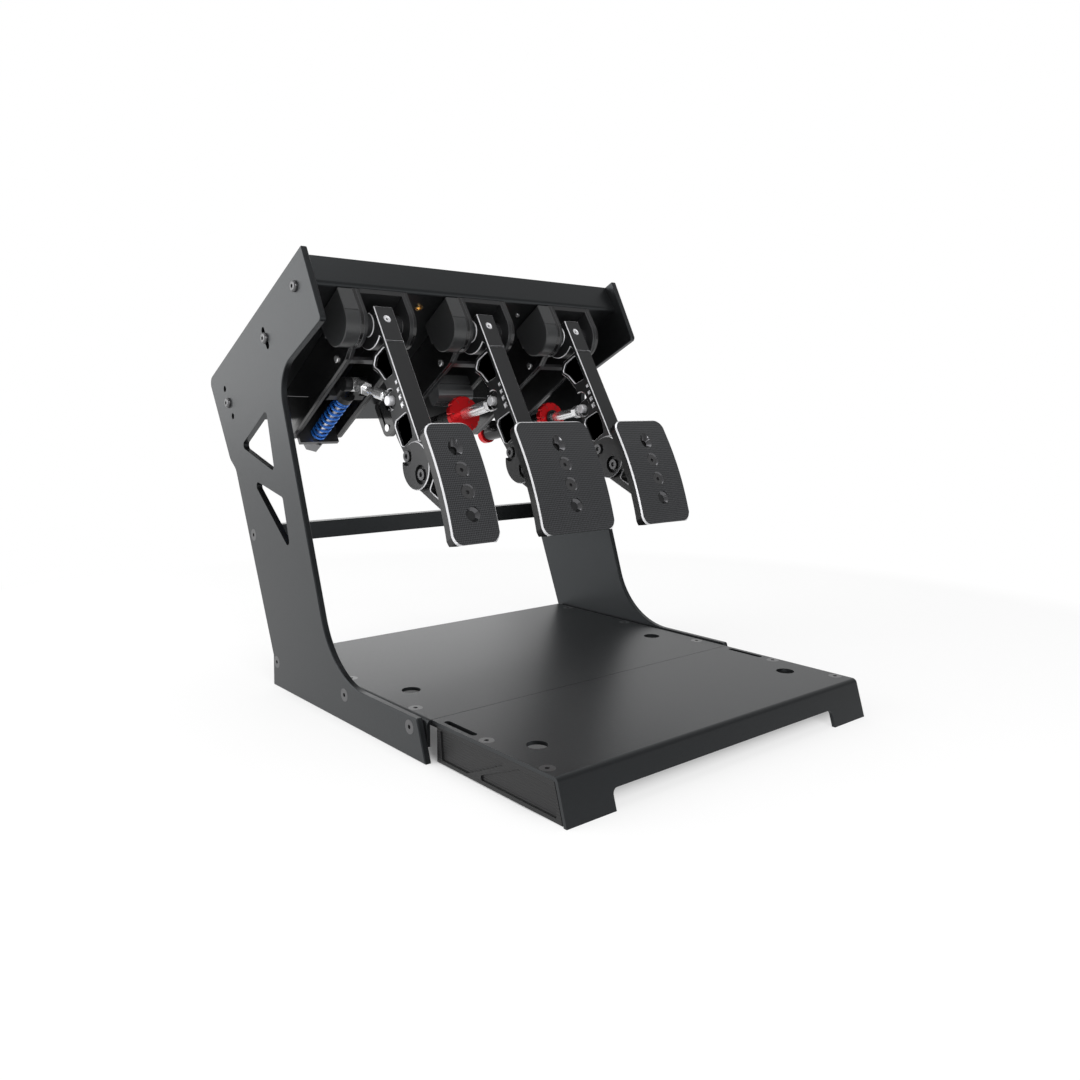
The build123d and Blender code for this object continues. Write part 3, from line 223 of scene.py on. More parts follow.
SURROUND_DIM = 0.30
SURROUND_BRIGHT = 1.05
SURROUND_SKEW = 0.35
SURROUND_SLOPE = 0.62
SURROUND_MIDDLE = 0.5
world = bpy.data.worlds.new("surround")
bpy.context.scene.world = world
world.use_nodes = True
room = Graph(world.node_tree)
background = room.tree.nodes["Background"]
room.put(background.inputs["Color"], WHITE)
toward_x, toward_y = room.axes("Generated")[:2]
rearward = ((toward_y - toward_x * SURROUND_SKEW) * SURROUND_SLOPE + SURROUND_MIDDLE).held()
faded = SURROUND_DIM + rearward * (SURROUND_BRIGHT - SURROUND_DIM)
plain_white = room.ray("Camera").most(room.ray("Transmission"))
room.put(background.inputs["Strength"], plain_white + (1 - plain_white) * faded)


def lamp(name, at, target, size, power):
    """Large square lamp aimed at a point."""
    data = bpy.data.lights.new(name, "AREA")
    data.size = size
    data.energy = power
    thing = bpy.data.objects.new(name, data)
    thing.location = at
    thing.rotation_euler = (Vector(target) - Vector(at)).to_track_quat("-Z", "Y").to_euler()
    bpy.context.scene.collection.objects.link(thing)


lamp("left wall lamp", at=(-1.7, 0.9, 0.7), target=(0, 0, 0.2), size=1.4, power=22)
lamp("rear left lamp", at=(-1.3, 2.6, 0.6), target=(-0.19, 0.1, 0.3), size=0.9, power=3)
lamp("rear right lamp", at=(1.0, 1.9, 0.55), target=(0, 0.15, 0.06), size=0.8, power=1.4)
lamp("front key lamp", at=(-0.6, -1.9, 1.0), target=(0, 0.1, 0.25), size=0.9, power=21)
lamp("top lamp", at=(0.2, 0.3, 2.0), target=(0, 0, 0.2), size=1.2, power=6)

# Side plates, heel plates, deck and rear bar: laser-cut and folded steel, powder coated satin
# black. The coat has the even grain of sprayed powder, and rounds every cut edge a little.
JOIN = 1e-6
FLAT_ANGLE = 0.01
SHARP_ANGLE = radians(28)
CORNER_ANGLE = radians(38)
FLAT_FACES_FIRST = 100


def merged(node):
    """Copy of a CAD piece's mesh, its loose triangles joined and its flat faces made whole."""
    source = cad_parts[node]
    shell = bmesh.new()
    shell.from_mesh(source.data)
    shell.transform(source.matrix_world)
    bmesh.ops.remove_doubles(shell, verts=shell.verts, dist=JOIN)
    bmesh.ops.dissolve_limit(shell, angle_limit=FLAT_ANGLE, verts=shell.verts, edges=shell.edges)
    return shell


def finish_piece(name, shell, finishes, body, nodes=()):
    """Object made from a finished mesh: smooth but for its sharp edges, riding on its body.
    Its finishes follow the material numbers of the mesh's faces."""
    bmesh.ops.recalc_face_normals(shell, faces=shell.faces)
    for face in shell.faces:
        face.smooth = True
    for edge in shell.edges:
        edge.smooth = edge.is_manifold and edge.calc_face_angle(0.0) < SHARP_ANGLE
    mesh = bpy.data.meshes.new(name)
    shell.to_mesh(mesh)
    shell.free()
    for finish in finishes:
        mesh.materials.append(finish.material)
    piece = bpy.data.objects.new(name, mesh)
    bpy.context.scene.collection.objects.link(piece)
    flat = piece.modifiers.new("flat faces stay flat", "WEIGHTED_NORMAL")
    flat.weight = FLAT_FACES_FIRST
    flat.keep_sharp = True
    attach(piece, body)
    if nodes:
        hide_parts(*nodes)
    return piece


def side_distance(vert, place):
    """Distance from a vertex to a place, both seen from the side."""
    return np.hypot(vert.co.y - place[1], vert.co.z - place[2])


def ease(shell, width, edge_finish, clamp=True, bores=(), reach=0.0):
    """Flat bevel of one width on every sharp edge, with a material number for its faces.
    Edges within a reach of a bore's middle stay as they are. A clamped bevel narrows where
    it would meet another."""
    edges = [edge for edge in shell.edges if edge.is_manifold and edge.calc_face_angle(0.0) > CORNER_ANGLE]
    for bore in bores:
        edges = [edge for edge in edges if side_distance(edge.verts[0], bore) > reach]
    bmesh.ops.bevel(shell, geom=edges, offset=width, offset_type="OFFSET", segments=1, affect="EDGES",
                    material=edge_finish, clamp_overlap=clamp, profile=0.5)


PLATES = ["side_plate_right", "side_plate_left", "heel_plate_rear", "heel_plate_front", "pedal_deck",
          "rear_cross_bar"]
COAT_EDGE = 0.0005
coat = Finish("powder coat")
grain = coat.noise(scale=700.0, detail=3.0, roughness=0.6)
coat.set(Base_Color=(0.006, 0.0062, 0.0066), Roughness=0.30 + grain * 0.08, Specular_IOR_Level=0.45,
         Specular_Tint=(0.88, 0.95, 1.0), Normal=coat.bump(grain, strength=0.35, distance=0.0002))
for node in PLATES:
    plate = merged(node)
    ease(plate, COAT_EDGE, 0)
    finish_piece(f"coated_{node}", plate, [coat], "frame", [node])


# Screws, washers, joiner bars, neck stops and the spring's end plate: turned and rolled steel,
# blackened in an oxide bath. The screws are driven flush into the plates' countersinks.
def repaint(nodes, finish):
    """Give a finish to whole CAD pieces, which keep their shape."""
    for node in nodes:
        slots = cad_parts[node].data.materials
        for index in range(len(slots)):
            slots[index] = finish.material


screw_black = Finish("black oxide")
screw_black.set(Base_Color=(0.11, 0.11, 0.113), Roughness=0.28, Metallic=0.8)
repaint(["deck_screws", "base_screws", "heel_screws", "module_screws", "module_washers",
         "heel_joiners", "neck_stops", "clutch_end_plate"], screw_black)

# End covers of the heel plate: moulded black plastic pushed in between its flanges. Both sunk
# panels carry fine moulded lines, and the edges are smooth.
COVER_LINE = 0.0022
COVER_EDGE = 0.0006
FULL_TURN = 6.283
moulded = Finish("moulded black")
cover_z = moulded.axes()[2]
lines = (cover_z / COVER_LINE * FULL_TURN).sine()
moulded.set(Base_Color=(0.008, 0.008, 0.0084), Roughness=0.4, Specular_IOR_Level=0.3,
            Normal=moulded.bump(lines, strength=0.25, distance=0.0003))
plain_plastic = Finish("plain black plastic")
plain_plastic.set(Base_Color=(0.008, 0.008, 0.0083), Roughness=0.28, Specular_IOR_Level=0.4)
for side in ("left", "right"):
    cover = merged(f"heel_cover_{side}")
    ease(cover, COVER_EDGE, 1)
    finish_piece(f"moulded_cover_{side}", cover, [moulded, plain_plastic], "frame",
                 [f"heel_cover_{side}"])

# Angle sensors: moulded dark grey housings, one screwed over the left end of each arm's axle.
# They keep the shape of the modelled pieces.
sensor_plastic = Finish("sensor housing")
sensor_plastic.set(Base_Color=(0.030, 0.031, 0.032), Roughness=0.34, Specular_IOR_Level=0.6)
repaint(["angle_sensors"], sensor_plastic)

# Deck insert: a turned brass bush pressed into the deck. The deck's two rivets, the arms' axles,
# the struts' pins and the spring's guide rod are bright plated steel.
brass = Finish("turned brass")
brass.set(Base_Color=(0.78, 0.55, 0.25), Roughness=0.25, Metallic=1.0)
repaint(["deck_insert"], brass)
bright = Finish("bright plate")
bright.set(Base_Color=(0.86, 0.86, 0.87), Roughness=0.24, Metallic=0.85)
repaint(["deck_rivets", "pivot_axles", "strut_pins", "clutch_guide_rod"], bright)

# Pedal modules: two milled cheeks with side covers over a base block, all anodised black. The
# cutter's chamfers are brighter than the faces.
MODULE_PITCH = 0.1167
MODULES = {"clutch": -MODULE_PITCH, "brake": 0.0, "throttle": MODULE_PITCH}
CHEEK_EDGE = 0.0004
SIDE_COVER_EDGE = 0.0003
anodised = Finish("black anodised")
brushed = anodised.noise(scale=420.0, detail=2.0, roughness=0.5)
anodised.set(Base_Color=(0.022, 0.0224, 0.0235), Roughness=0.32 + brushed * 0.08, Metallic=0.3)
chamfer = Finish("bright chamfer")
chamfer.set(Base_Color=(0.80, 0.80, 0.82), Roughness=0.42, Metallic=0.6)
dull_chamfer = Finish("dull chamfer")
dull_chamfer.set(Base_Color=(0.10, 0.10, 0.104), Roughness=0.26, Metallic=0.8)
glossy_cover = Finish("glossy cover")
glossy_cover.set(Base_Color=(0.008, 0.008, 0.0084), Roughness=0.16, Specular_IOR_Level=0.6)
for name in MODULES:
    for side in ("left", "right"):
        cheek = merged(f"{name}_cheek_{side}")
        ease(cheek, CHEEK_EDGE, 1)
        finish_piece(f"{name}_milled_cheek_{side}", cheek, [anodised, dull_chamfer], "frame",
                     [f"{name}_cheek_{side}"])
    covers = merged(f"{name}_side_covers")
    ease(covers, SIDE_COVER_EDGE, 1)
    finish_piece(f"{name}_glossy_covers", covers, [glossy_cover, dull_chamfer], "frame",
                 [f"{name}_side_covers"])
repaint([f"{name}_base_block" for name in MODULES], anodised)

# Cover bolts: one bright button head, turned from steel, holds the side cover to each cheek.
# Its seat is sunk a little into the cover.
TILT = radians(33.07)
DECK_AT = (0.0555, 0.3840)
COVER_FACE = 0.0294
COVER_BOLT = (0.0606, -0.0363)
COVER_SEAT = 0.0006
COVER_HEAD = {"radius": 0.0034, "rise": 0.0024, "edge": 0.0006}
COVER_HEAD_SIDES = 32
ROUND = 40
HEXAGON = 6
SQUARE = 4
ACROSS_ALL_AXES = (0.31, 0.25, 0.92)


def in_module(x, along, rise):
    """Places in the row frame of points given across, along and above the sloping deck."""
    x, along, rise = np.broadcast_arrays(x, along, rise)
    y = DECK_AT[0] + along * cos(TILT) + rise * sin(TILT)
    z = DECK_AT[1] - along * sin(TILT) + rise * cos(TILT)
    return np.stack((x, y, z), axis=-1)


def turned(profile, at, axis, count=ROUND):
    """Turned skin: profile of (height along the axis, radius) pairs carried round the axis.
    Points are at + h * axis + r * (cos t * e1 + sin t * e2), with a count of steps of t."""
    height, radius = np.array(profile, float).T
    axis = np.array(axis, float) / np.linalg.norm(axis)
    first = np.cross(axis, ACROSS_ALL_AXES)
    first /= np.linalg.norm(first)
    second = np.cross(axis, first)
    turn = np.arange(count) * 2 * np.pi / count
    ring = np.cos(turn)[:, None] * first + np.sin(turn)[:, None] * second
    return np.array(at) + height[:, None, None] * axis + radius[:, None, None] * ring


def skins(grids):
    """One mesh from several skins of rows by columns, each closed round its columns."""
    shell = bmesh.new()
    for points in grids:
        rows, columns = points.shape[:2]
        index = np.arange(rows * columns).reshape(rows, columns)
        after = np.roll(index, -1, axis=1)
        quads = np.stack((index[:-1], after[:-1], after[1:], index[1:]), axis=-1).reshape(-1, 4)
        mesh = bpy.data.meshes.new("skin")
        mesh.from_pydata(points.reshape(-1, 3).tolist(), [], quads.tolist())
        skin = bmesh.new()
        skin.from_mesh(mesh)
        bmesh.ops.remove_doubles(skin, verts=skin.verts, dist=JOIN)
        skin.to_mesh(mesh)
        skin.free()
        shell.from_mesh(mesh)
        bpy.data.meshes.remove(mesh)
    return shell


def head(radius, rise, edge):
    """Profile of a solid round head of a radius and rise, its rim broken by an edge."""
    return [(0, 0), (0, radius), (rise - edge, radius), (rise, radius - edge), (rise, 0)]


cover_heads = []
for centre in MODULES.values():
    for sign in (-1, 1):
        seat = in_module(centre + sign * (COVER_FACE - COVER_SEAT), *COVER_BOLT)
        cover_heads.append(turned(head(**COVER_HEAD), seat, (sign, 0, 0), COVER_HEAD_SIDES))
finish_piece("cover_bolts", skins(cover_heads), [bright], "frame")

# Arm bolts: black socket screws of the joint discs and pads, and the bright link bolt that
# carries the rod end. Its round head stands out of the left wall, and its nut sits in the right.
LEAN = radians(1.77)
PIVOT = (0.0235, -0.0237)
LINK_BACK = 0.0059
LINK_DOWN = {"clutch": 0.077, "brake": 0.077, "throttle": 0.0858}
VOID_HALF = 0.0065
PACKED_LINK_REACH = 0.0085
PAD_SCREWS_BACK = -0.030
LINK_HEAD = {"radius": 0.0046, "rise": 0.0060, "edge": 0.0006}
LINK_SHANK = {"radius": 0.0030, "rise": 0.0165, "edge": 0.0002}
LINK_NUT = {"radius": 0.0062, "rise": 0.0035, "edge": 0.0003}
Face = namedtuple("Face", "out top_edge flat radius tall")
PACKED_FACE = Face(out=0.0526, top_edge=0.1366, flat=0.0520, radius=0.1340, tall=0.1090)
FITTED_FACE = Face(out=0.0503, top_edge=0.1322, flat=0.0228, radius=0.2920, tall=0.1100)
ARC_SHARE = 0.9


def arm_to_module(back, up):
    """Place along and above the deck of a point behind and above the arm's pivot."""
    along = PIVOT[0] + back * cos(LEAN) - up * sin(LEAN)
    return along, PIVOT[1] + back * sin(LEAN) + up * cos(LEAN)


def from_row(y, z):
    """Place along and above the deck of a point of the row frame."""
    along = (y - DECK_AT[0]) * cos(TILT) - (z - DECK_AT[1]) * sin(TILT)
    return along, (y - DECK_AT[0]) * sin(TILT) + (z - DECK_AT[1]) * cos(TILT)


def module_to_arm(along, rise):
    """Place behind and above the arm's pivot of a point along and above the deck."""
    along, rise = along - PIVOT[0], rise - PIVOT[1]
    return along * cos(LEAN) + rise * sin(LEAN), rise * cos(LEAN) - along * sin(LEAN)


def face_back(up, face):
    """Place of a pedal face behind the pivot at each height: straight for its flat stretch, and
    below that on an arc, -out + radius - sqrt(radius^2 - below^2)."""
    below = np.clip(-face.top_edge - face.flat - up, 0, face.radius * ARC_SHARE)
    return -face.out + face.radius - np.sqrt(face.radius ** 2 - below ** 2)


links = {name: arm_to_module(LINK_BACK, -down) for name, down in LINK_DOWN.items()}
for name, centre in MODULES.items():
    screws = merged(f"{name}_arm_bolts")
    link_at = in_module(centre, *links[name])
    packed_link = [vert for vert in screws.verts if side_distance(vert, link_at) < PACKED_LINK_REACH]
    bmesh.ops.delete(screws, geom=packed_link, context="VERTS")
    for vert in screws.verts:
        back, up = module_to_arm(*from_row(vert.co.y, vert.co.z))
        if back < PAD_SCREWS_BACK:
            back += face_back(up, FITTED_FACE) - face_back(up, PACKED_FACE)
            vert.co = in_module(vert.co.x, *arm_to_module(back, up))
    finish_piece(f"{name}_arm_screws", screws, [screw_black], f"{name}_pedal",
                 [f"{name}_arm_bolts"])
    left_wall = link_at - (VOID_HALF, 0, 0)
    right_wall = link_at + (VOID_HALF, 0, 0)
    link_bolt = [turned(head(**LINK_HEAD), left_wall, (-1, 0, 0)),
                 turned(head(**LINK_SHANK), left_wall, (1, 0, 0)),
                 turned(head(**LINK_NUT), right_wall, (1, 0, 0), HEXAGON)]
    finish_piece(f"{name}_link_bolt", skins(link_bolt), [chamfer], f"{name}_pedal")

# Arms and pad brackets: milled aluminium, anodised black and then chamfered bright along every
# edge. Each arm turns on its module's axle, and its bracket is bolted between the joint discs.
ARM_LENGTH = 0.150
ARM_CHAMFER = 0.0007
JOINT_SCREW_SHARES = [(0.905, 0.021), (1.069, -0.060)]
BORE_REACH = 0.0092
for name in MODULES:
    bores = [in_module(0, *arm_to_module(back * ARM_LENGTH, -down * ARM_LENGTH))
             for down, back in JOINT_SCREW_SHARES]
    for piece in ("arm", "pad_carrier"):
        milled = merged(f"{name}_{piece}")
        ease(milled, ARM_CHAMFER, 1, False, bores, BORE_REACH)
        finish_piece(f"{name}_milled_{piece}", milled, [anodised, chamfer], f"{name}_pedal",
                     [f"{name}_{piece}"])

# Web screw: a small bright grub screw, turned from steel, in the front of each arm over its
# axle. Its face stands just behind the front of the web, with the socket sunk in it.
WEB_SCREW_AT = (-0.01645, -0.00455)
GRUB = [(0, 0), (0, 0.0027), (0.0009, 0.0027), (0.0010, 0.0025), (0.0010, 0.0012), (0.0001, 0.0011),
        (0.0001, 0)]
GRUB_SIDES = 24
towards_driver = in_module(0, *arm_to_module(-1, 0)) - in_module(0, *arm_to_module(0, 0))
for name, centre in MODULES.items():
    grub = turned(GRUB, in_module(centre, *arm_to_module(*WEB_SCREW_AT)), towards_driver, GRUB_SIDES)
    finish_piece(f"{name}_web_screw", skins([grub]), [chamfer], f"{name}_pedal")

# Depth marks: four small squares milled bright through the black of both walls of each arm,
# growing downwards. Their places are shares of the arm's length, down and back from the pivot.
ARM_HALF = 0.010
MARK_SHARES = [(0.463, -0.089), (0.513, -0.083), (0.560, -0.079), (0.611, -0.075)]
MARK_SIZES = [0.0019, 0.0024, 0.0029, 0.0034]
MARK_CORNER_SHARE = 0.7
MARK_RISE = 0.00015
MARK_SEAT = 0.0001
for name, centre in MODULES.items():
    marks = []
    for (down, back), size in zip(MARK_SHARES, MARK_SIZES):
        mark = [(0, 0), (0, size * MARK_CORNER_SHARE), (MARK_RISE, size * MARK_CORNER_SHARE), (MARK_RISE, 0)]
        for sign in (-1, 1):
            middle = in_module(centre + sign * (ARM_HALF - MARK_SEAT),
                               *arm_to_module(back * ARM_LENGTH, -down * ARM_LENGTH))
            marks.append(turned(mark, middle, (sign, 0, 0), SQUARE))
    finish_piece(f"{name}_depth_marks", skins(marks), [chamfer], f"{name}_pedal")

# Pedal faces: milled aluminium plates, curved back below, with a finely woven black face, a
# bright chamfered rim and four countersunk holes. Two flat screws hold each to its bracket.
PAD_WIDTHS = {"clutch": (0.0540, 0.0504), "brake": (0.0930, 0.0904), "throttle": (0.0730, 0.0692)}
RIM = 0.0015
CORNER = 0.011
PACKED_STEP = 0.0013
STEP_SLACK = 0.0004
STEP_BAND = (0.0007, 0.004)
LEVEL_CUTS = np.linspace(0.134, 0.246, 22)
CUT_SLACK = 1e-7
HOLES_BELOW_EDGE = 0.0165
HOLES_FROM = PACKED_FACE.top_edge + HOLES_BELOW_EDGE
HOLES_TO = 0.232
HOLES_HALF = 0.010
LOW_END = 0.2375
LOW_SHIFT = 0.0034
PAD_JOIN = 2e-5
FACING = 0.93
SLANTED = 0.3
WEAVE = 0.0018
WEAVE_SLANT = 1.02
FACE, EDGE, SIDE, SINK = range(4)


def rim_inset(across, up, half, face):
    """Distance in from a pedal face's rounded outline: straight near a side, round near a corner."""
    from_side = half - np.abs(across) - CORNER
    from_end = np.minimum(-face.top_edge - up, up + face.top_edge + face.tall) - CORNER
    outside = np.hypot(np.clip(-from_side, 0, None), np.clip(-from_end, 0, None))
    inner = CORNER + np.minimum(from_side, from_end)
    return np.where((from_side > 0) & (from_end > 0), inner, CORNER - outside)


def fitted(points, centre, packed_half, new_half):
    """Packed pedal face's points carried onto the real outline and curve. The stepped rim is
    raised flush, both ends move to their real height, the sides move in, and the holes stay."""
    back, up = module_to_arm(*from_row(points[:, 1], points[:, 2]))
    across = points[:, 0] - centre
    depth = back - face_back(up, PACKED_FACE)
    inset = rim_inset(across, up, packed_half, PACKED_FACE)
    stepped = np.abs(depth - PACKED_STEP) < STEP_SLACK
    depth = np.where(stepped & (inset > STEP_BAND[0]) & (inset < STEP_BAND[1]), 0.0, depth)
    up = up + np.interp(-up, [PACKED_FACE.top_edge + CORNER, HOLES_FROM, HOLES_TO, LOW_END],
                        [PACKED_FACE.top_edge - FITTED_FACE.top_edge, 0.0, 0.0, LOW_SHIFT])
    spread = np.interp(np.abs(across), [HOLES_HALF, packed_half - CORNER], [0.0, 1.0])
    across = across + np.sign(across) * (new_half - packed_half) * spread
    return in_module(centre + across, *arm_to_module(face_back(up, FITTED_FACE) + depth, up))


woven = Finish("woven face")
weave_x, weave_z = woven.axes()[::2]
warp = ((weave_x + weave_z * WEAVE_SLANT) / WEAVE * (FULL_TURN / 2)).sine()
weft = ((weave_x - weave_z * WEAVE_SLANT) / WEAVE * (FULL_TURN / 2)).sine()
threads = warp * weft * 0.5 + 0.5
woven.set(Base_Color=woven.mix(threads, (0.010, 0.0105, 0.0115), (0.075, 0.077, 0.082)),
          Roughness=0.34, Metallic=0.35, Normal=woven.bump(threads, strength=0.5, distance=0.0003))
sink_shine = Finish("countersink")
sink_shine.set(Base_Color=(0.10, 0.10, 0.105), Roughness=0.12, Metallic=0.9)
pad_side = Finish("pad side")
pad_side.set(Base_Color=(0.010, 0.010, 0.0105), Roughness=0.3)
arm_up = in_module(0, *arm_to_module(0, 1)) - in_module(0, *arm_to_module(0, 0))
for name, centre in MODULES.items():
    pad = merged(f"{name}_pad")
    for height in LEVEL_CUTS:
        middle = in_module(centre, *arm_to_module(0, -height))
        geometry = list(pad.verts) + list(pad.edges) + list(pad.faces)
        bmesh.ops.bisect_plane(pad, geom=geometry, dist=CUT_SLACK, plane_co=Vector(middle),
                               plane_no=Vector(arm_up))
    packed_half, new_half = (width / 2 for width in PAD_WIDTHS[name])
    places = fitted(np.array([vert.co for vert in pad.verts]), centre, packed_half, new_half)
    for vert, place in zip(pad.verts, places):
        vert.co = place
    bmesh.ops.remove_doubles(pad, verts=pad.verts, dist=PAD_JOIN)
    for face in pad.faces:
        face.normal_update()
        towards = face.normal.dot(Vector(towards_driver))
        middle = face.calc_center_median()
        back, up = module_to_arm(*from_row(middle.y, middle.z))
        if towards > FACING:
            face.material_index = FACE
        elif towards > SLANTED:
            at_rim = rim_inset(middle.x - centre, up, new_half, FITTED_FACE) < RIM
            face.material_index = EDGE if at_rim else SINK
        else:
            face.material_index = SIDE
    finish_piece(f"{name}_woven_face", pad, [woven, chamfer, pad_side, sink_shine], f"{name}_pedal",
                 [f"{name}_pad"])

# Clutch push rod: bright plated steel, with a barrel, two nuts and an eye at each end. It runs
# from the arm's link bolt to the carriage's pin.
CARRIAGE_PIN = (0.0917, -0.043)
ROD_GAP = 0.0045
SHANK = 0.0038
SLIM = 0.0034
CLUTCH_BARREL = [(0.0225, SHANK), (0.0230, 0.0048), (0.0234, 0.0052), (0.0386, 0.0052), (0.0390, 0.0048),
                 (0.0392, SLIM), (0.0575, SLIM), (0.0735, SHANK)]


def collar(low, high, radius, bore, ends, sides):
    """Profile of a collar between two heights, its corners broken along and inwards. One with a
    bore closes on itself, and one without is solid."""
    points = [(low, bore), (low, radius - sides), (low + ends, radius), (high - ends, radius),
              (high, radius - sides), (high, bore)]
    return points + points[:1] if bore else points


ROD_EYE = collar(low=-0.004, high=0.004, radius=0.008, bore=0.0032, ends=0.0005, sides=0.0005)
PIN_EYE = collar(low=-0.004, high=0.004, radius=0.0070, bore=0.0038, ends=0.0004, sides=0.0004)
LOCK_NUT = collar(low=0.012, high=0.0158, radius=0.0062, bore=0, ends=0.0003, sides=0.0004)
LONG_NUT = collar(low=0.058, high=0.072, radius=0.0070, bore=0, ends=0.0005, sides=0.0006)
centre = MODULES["clutch"]
arm_end = in_module(centre, *links["clutch"])
pin_end = in_module(centre, *CARRIAGE_PIN)
reach = float(np.linalg.norm(pin_end - arm_end))
run = (pin_end - arm_end) / reach
clutch_rod = [(ROD_GAP, 0), (ROD_GAP, SHANK), *CLUTCH_BARREL, (reach - ROD_GAP, SHANK), (reach - ROD_GAP, 0)]
parts = [turned(ROD_EYE, arm_end, (1, 0, 0)), turned(clutch_rod, arm_end, run),
         turned(LOCK_NUT, arm_end, run, HEXAGON), turned(LONG_NUT, arm_end, run, HEXAGON),
         turned(PIN_EYE, pin_end, (1, 0, 0))]
finish_piece("clutch_push_rod_bright", skins(parts), [bright], "clutch_push_rod",
             ["clutch_rod"])

# Clutch carriage: a milled block, anodised black, that the rod pushes along between the cheeks.
# Its rear face is set forward, to give the return spring its length.
CARRIAGE_REAR = 0.118
CARRIAGE_BACK = 0.0110
MODULE_AXIS = in_module(0, 1, 0) - in_module(0, 0, 0)
carriage = merged("clutch_carriage")
for vert in carriage.verts:
    along = from_row(vert.co.y, vert.co.z)[0]
    if along > CARRIAGE_REAR:
        vert.co -= Vector(MODULE_AXIS * CARRIAGE_BACK)
finish_piece("clutch_milled_carriage", carriage, [anodised, dull_chamfer], "clutch_slider",
             ["clutch_carriage"])

# Return spring: one blue lacquered steel wire, wound in ten turns that close up at both ends.
# It sits over the guide rod, between the carriage and the preload nut.
SPRING_FROM = 0.1165
SPRING_TO = 0.1855
WIRE = 0.0014
COIL = 0.0070
COILS = 10
STEPS_PER_TURN = 36
WIRE_SIDES = 12
CLOSED_SHARES = [0, 0.09, 0.91, 1]
RISE_SHARES = [0, 0.028, 0.972, 1]


def wound_wire(foot, axis, length):
    """Skin of a coil spring from a foot along an axis. Its middle line is foot + rise * axis +
    coil * out, where out turns round the axis, and the skin round that line is
    wire * (cos t * out + sin t * axis), drawn in to a point at both ends."""
    share = np.linspace(0, 1, COILS * STEPS_PER_TURN + 1)
    rise = WIRE + (length - 2 * WIRE) * np.interp(share, CLOSED_SHARES, RISE_SHARES)
    angle = 2 * np.pi * COILS * share
    side = np.array((1.0, 0, 0))
    out = np.cos(angle)[:, None] * side + np.sin(angle)[:, None] * np.cross(axis, side)
    middle_line = foot + rise[:, None] * axis + COIL * out
    turn = np.arange(WIRE_SIDES) * 2 * np.pi / WIRE_SIDES
    thick = np.full(len(share), WIRE)
    thick[0] = thick[-1] = 0.0
    ring = np.cos(turn)[None, :, None] * out[:, None, :] + np.sin(turn)[None, :, None] * axis
    return middle_line[:, None, :] + thick[:, None, None] * ring


blue = Finish("blue lacquer")
blue.set(Base_Color=(0.03, 0.20, 0.72), Roughness=0.2, Metallic=0.6, Coat_Weight=0.5)
spring_length = SPRING_TO - SPRING_FROM
spring_foot = in_module(centre, SPRING_FROM, CARRIAGE_PIN[1])
spring_end = in_module(centre, SPRING_TO, CARRIAGE_PIN[1])
wire = wound_wire(spring_foot, MODULE_AXIS, spring_length)
spring = finish_piece("clutch_return_spring", skins([wire]), [blue], "frame",
                      ["clutch_spring"])
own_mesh(spring)

# Preload nut: a grey hexagonal steel nut on the guide rod, behind the spring. Turning it sets
# how hard the spring is pressed at rest.
NUT_GAP = 0.0045
PRELOAD_NUT = collar(low=0, high=0.014, radius=0.011, bore=0.0038, ends=0.0005, sides=0.0005)
nut_grey = Finish("grey nut")
nut_grey.set(Base_Color=(0.22, 0.22, 0.225), Roughness=0.3, Metallic=0.8)
nut_at = in_module(centre, SPRING_TO + NUT_GAP, CARRIAGE_PIN[1])
nut = turned(PRELOAD_NUT, nut_at, MODULE_AXIS, HEXAGON)
finish_piece("clutch_hexagonal_nut", skins([nut]), [nut_grey], "clutch_nut",
             ["clutch_preload_nut"])

# Brake and throttle cylinders: black tubes that swing on a pin at the rear, with preload dials
# and the throttle's end knob turned from aluminium and anodised red.
red = Finish("red anodised")
red.set(Base_Color=(0.62, 0.004, 0.008), Roughness=0.26, Metallic=0.6)
repaint(["brake_dial", "throttle_dial", "throttle_knob"], red)
grey = Finish("light grey")
grey.set(Base_Color=(0.13, 0.133, 0.138), Roughness=0.22, Metallic=0.6)
repaint(["brake_load_block"], grey)
tube_black = Finish("black tube")
tube_black.set(Base_Color=(0.012, 0.012, 0.0125), Roughness=0.24, Metallic=0.3)
repaint(["brake_tube", "throttle_tube"], tube_black)

# Brake rings: three moulded rubber rings stacked behind the brake's dial.
STRUT_END = (0.198, -0.039)


def strut_line(name):
    """Place of a strut's rod end, and the unit direction from it to the strut's rear pin."""
    start = in_module(MODULES[name], *links[name])
    run = in_module(MODULES[name], *STRUT_END) - start
    return start, run / np.linalg.norm(run)


rubber = Finish("black rubber")
rubber.set(Base_Color=(0.014, 0.014, 0.014), Roughness=0.6)
start, run = strut_line("brake")
rings = finish_piece("brake_rubber_rings", merged("brake_elastomers"), [rubber], "brake_cylinder",
                     ["brake_elastomers"])
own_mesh(rings)

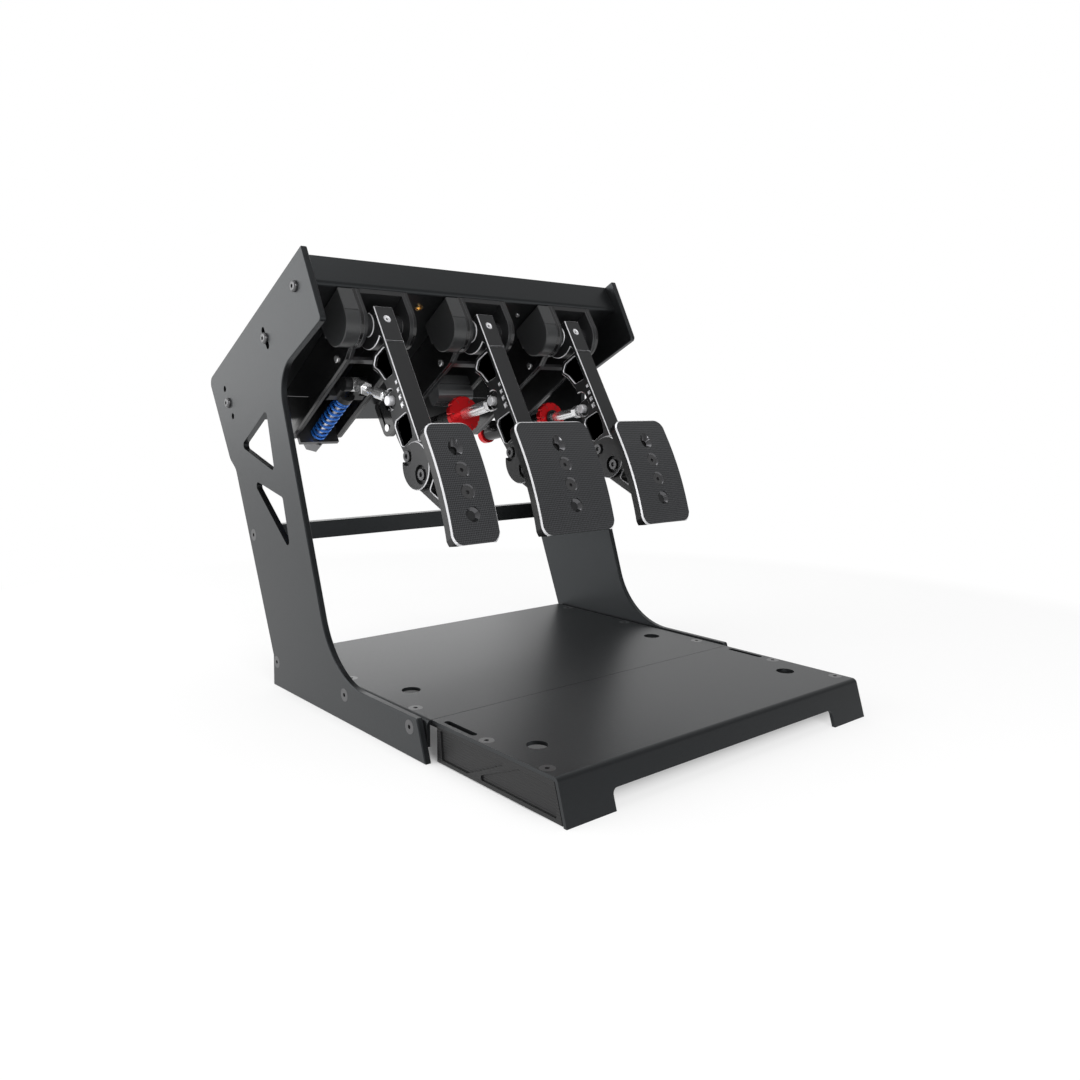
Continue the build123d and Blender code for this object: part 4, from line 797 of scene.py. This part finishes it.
# Brake and throttle rods: turned steel, plated bright, each with an eye and a lock nut at the
# arm and a thicker coupling up to the dial. The slim end slides into the cylinder.
RODS = {
    "brake": [(ROD_GAP, 0), (ROD_GAP, SHANK), (0.0185, SHANK), (0.0190, 0.0056), (0.0194, 0.0060),
              (0.0598, 0.0060), (0.0602, 0.0045), (0.1296, 0.0045), (0.1296, 0)],
    "throttle": [(ROD_GAP, 0), (ROD_GAP, SHANK), (0.0155, SHANK), (0.0160, 0.0048), (0.0163, 0.0050),
                 (0.0597, 0.0050), (0.0600, SLIM), (0.1172, SLIM), (0.1172, 0)],
}
STRUT_NUTS = {
    "brake": collar(low=0.012, high=0.0182, radius=0.0068, bore=0, ends=0.0003, sides=0.0004),
    "throttle": collar(low=0.0158, high=0.0220, radius=0.0068, bore=0, ends=0.0003, sides=0.0004),
}
for name, profile in RODS.items():
    start, run = strut_line(name)
    rod = [turned(ROD_EYE, start, (1, 0, 0)), turned(profile, start, run),
           turned(STRUT_NUTS[name], start, run, HEXAGON)]
    finish_piece(f"{name}_push_rod_bright", skins(rod), [bright], f"{name}_push_rod",
                 [f"{name}_rod"])

# Dial figures: plain numbers from 1 to 6, printed in black near the rim of each preload dial.
# They turn with it and tell the driver its setting.
DIAL_AT = 0.0603
PRINT_RISE = 0.0001
FIGURE_HEIGHT = 0.0052
FIGURES = 6
FIGURE_RADII = {"brake": 0.0145, "throttle": 0.0132}
for name, radius in FIGURE_RADII.items():
    start, run = strut_line(name)
    dial_face = start + run * (DIAL_AT - PRINT_RISE)
    figures = bmesh.new()
    for step in range(FIGURES):
        curve = bpy.data.curves.new("figure", "FONT")
        curve.body = str(step + 1)
        curve.size = FIGURE_HEIGHT
        curve.align_x = "CENTER"
        curve.align_y = "CENTER"
        letter = bpy.data.objects.new("figure", curve)
        figure = bpy.data.meshes.new_from_object(letter)
        turn = step * 2 * np.pi / FIGURES
        away = np.cos(turn) * np.array((1.0, 0, 0)) + np.sin(turn) * np.cross(run, (1.0, 0, 0))
        facing = Matrix((np.cross(away, -run), away, -run)).transposed().to_4x4()
        figure.transform(Matrix.Translation(dial_face + radius * away) @ facing)
        figures.from_mesh(figure)
        bpy.data.objects.remove(letter)
    finish_piece(f"{name}_dial_figures", figures, [plain_plastic], f"{name}_preload_dial")
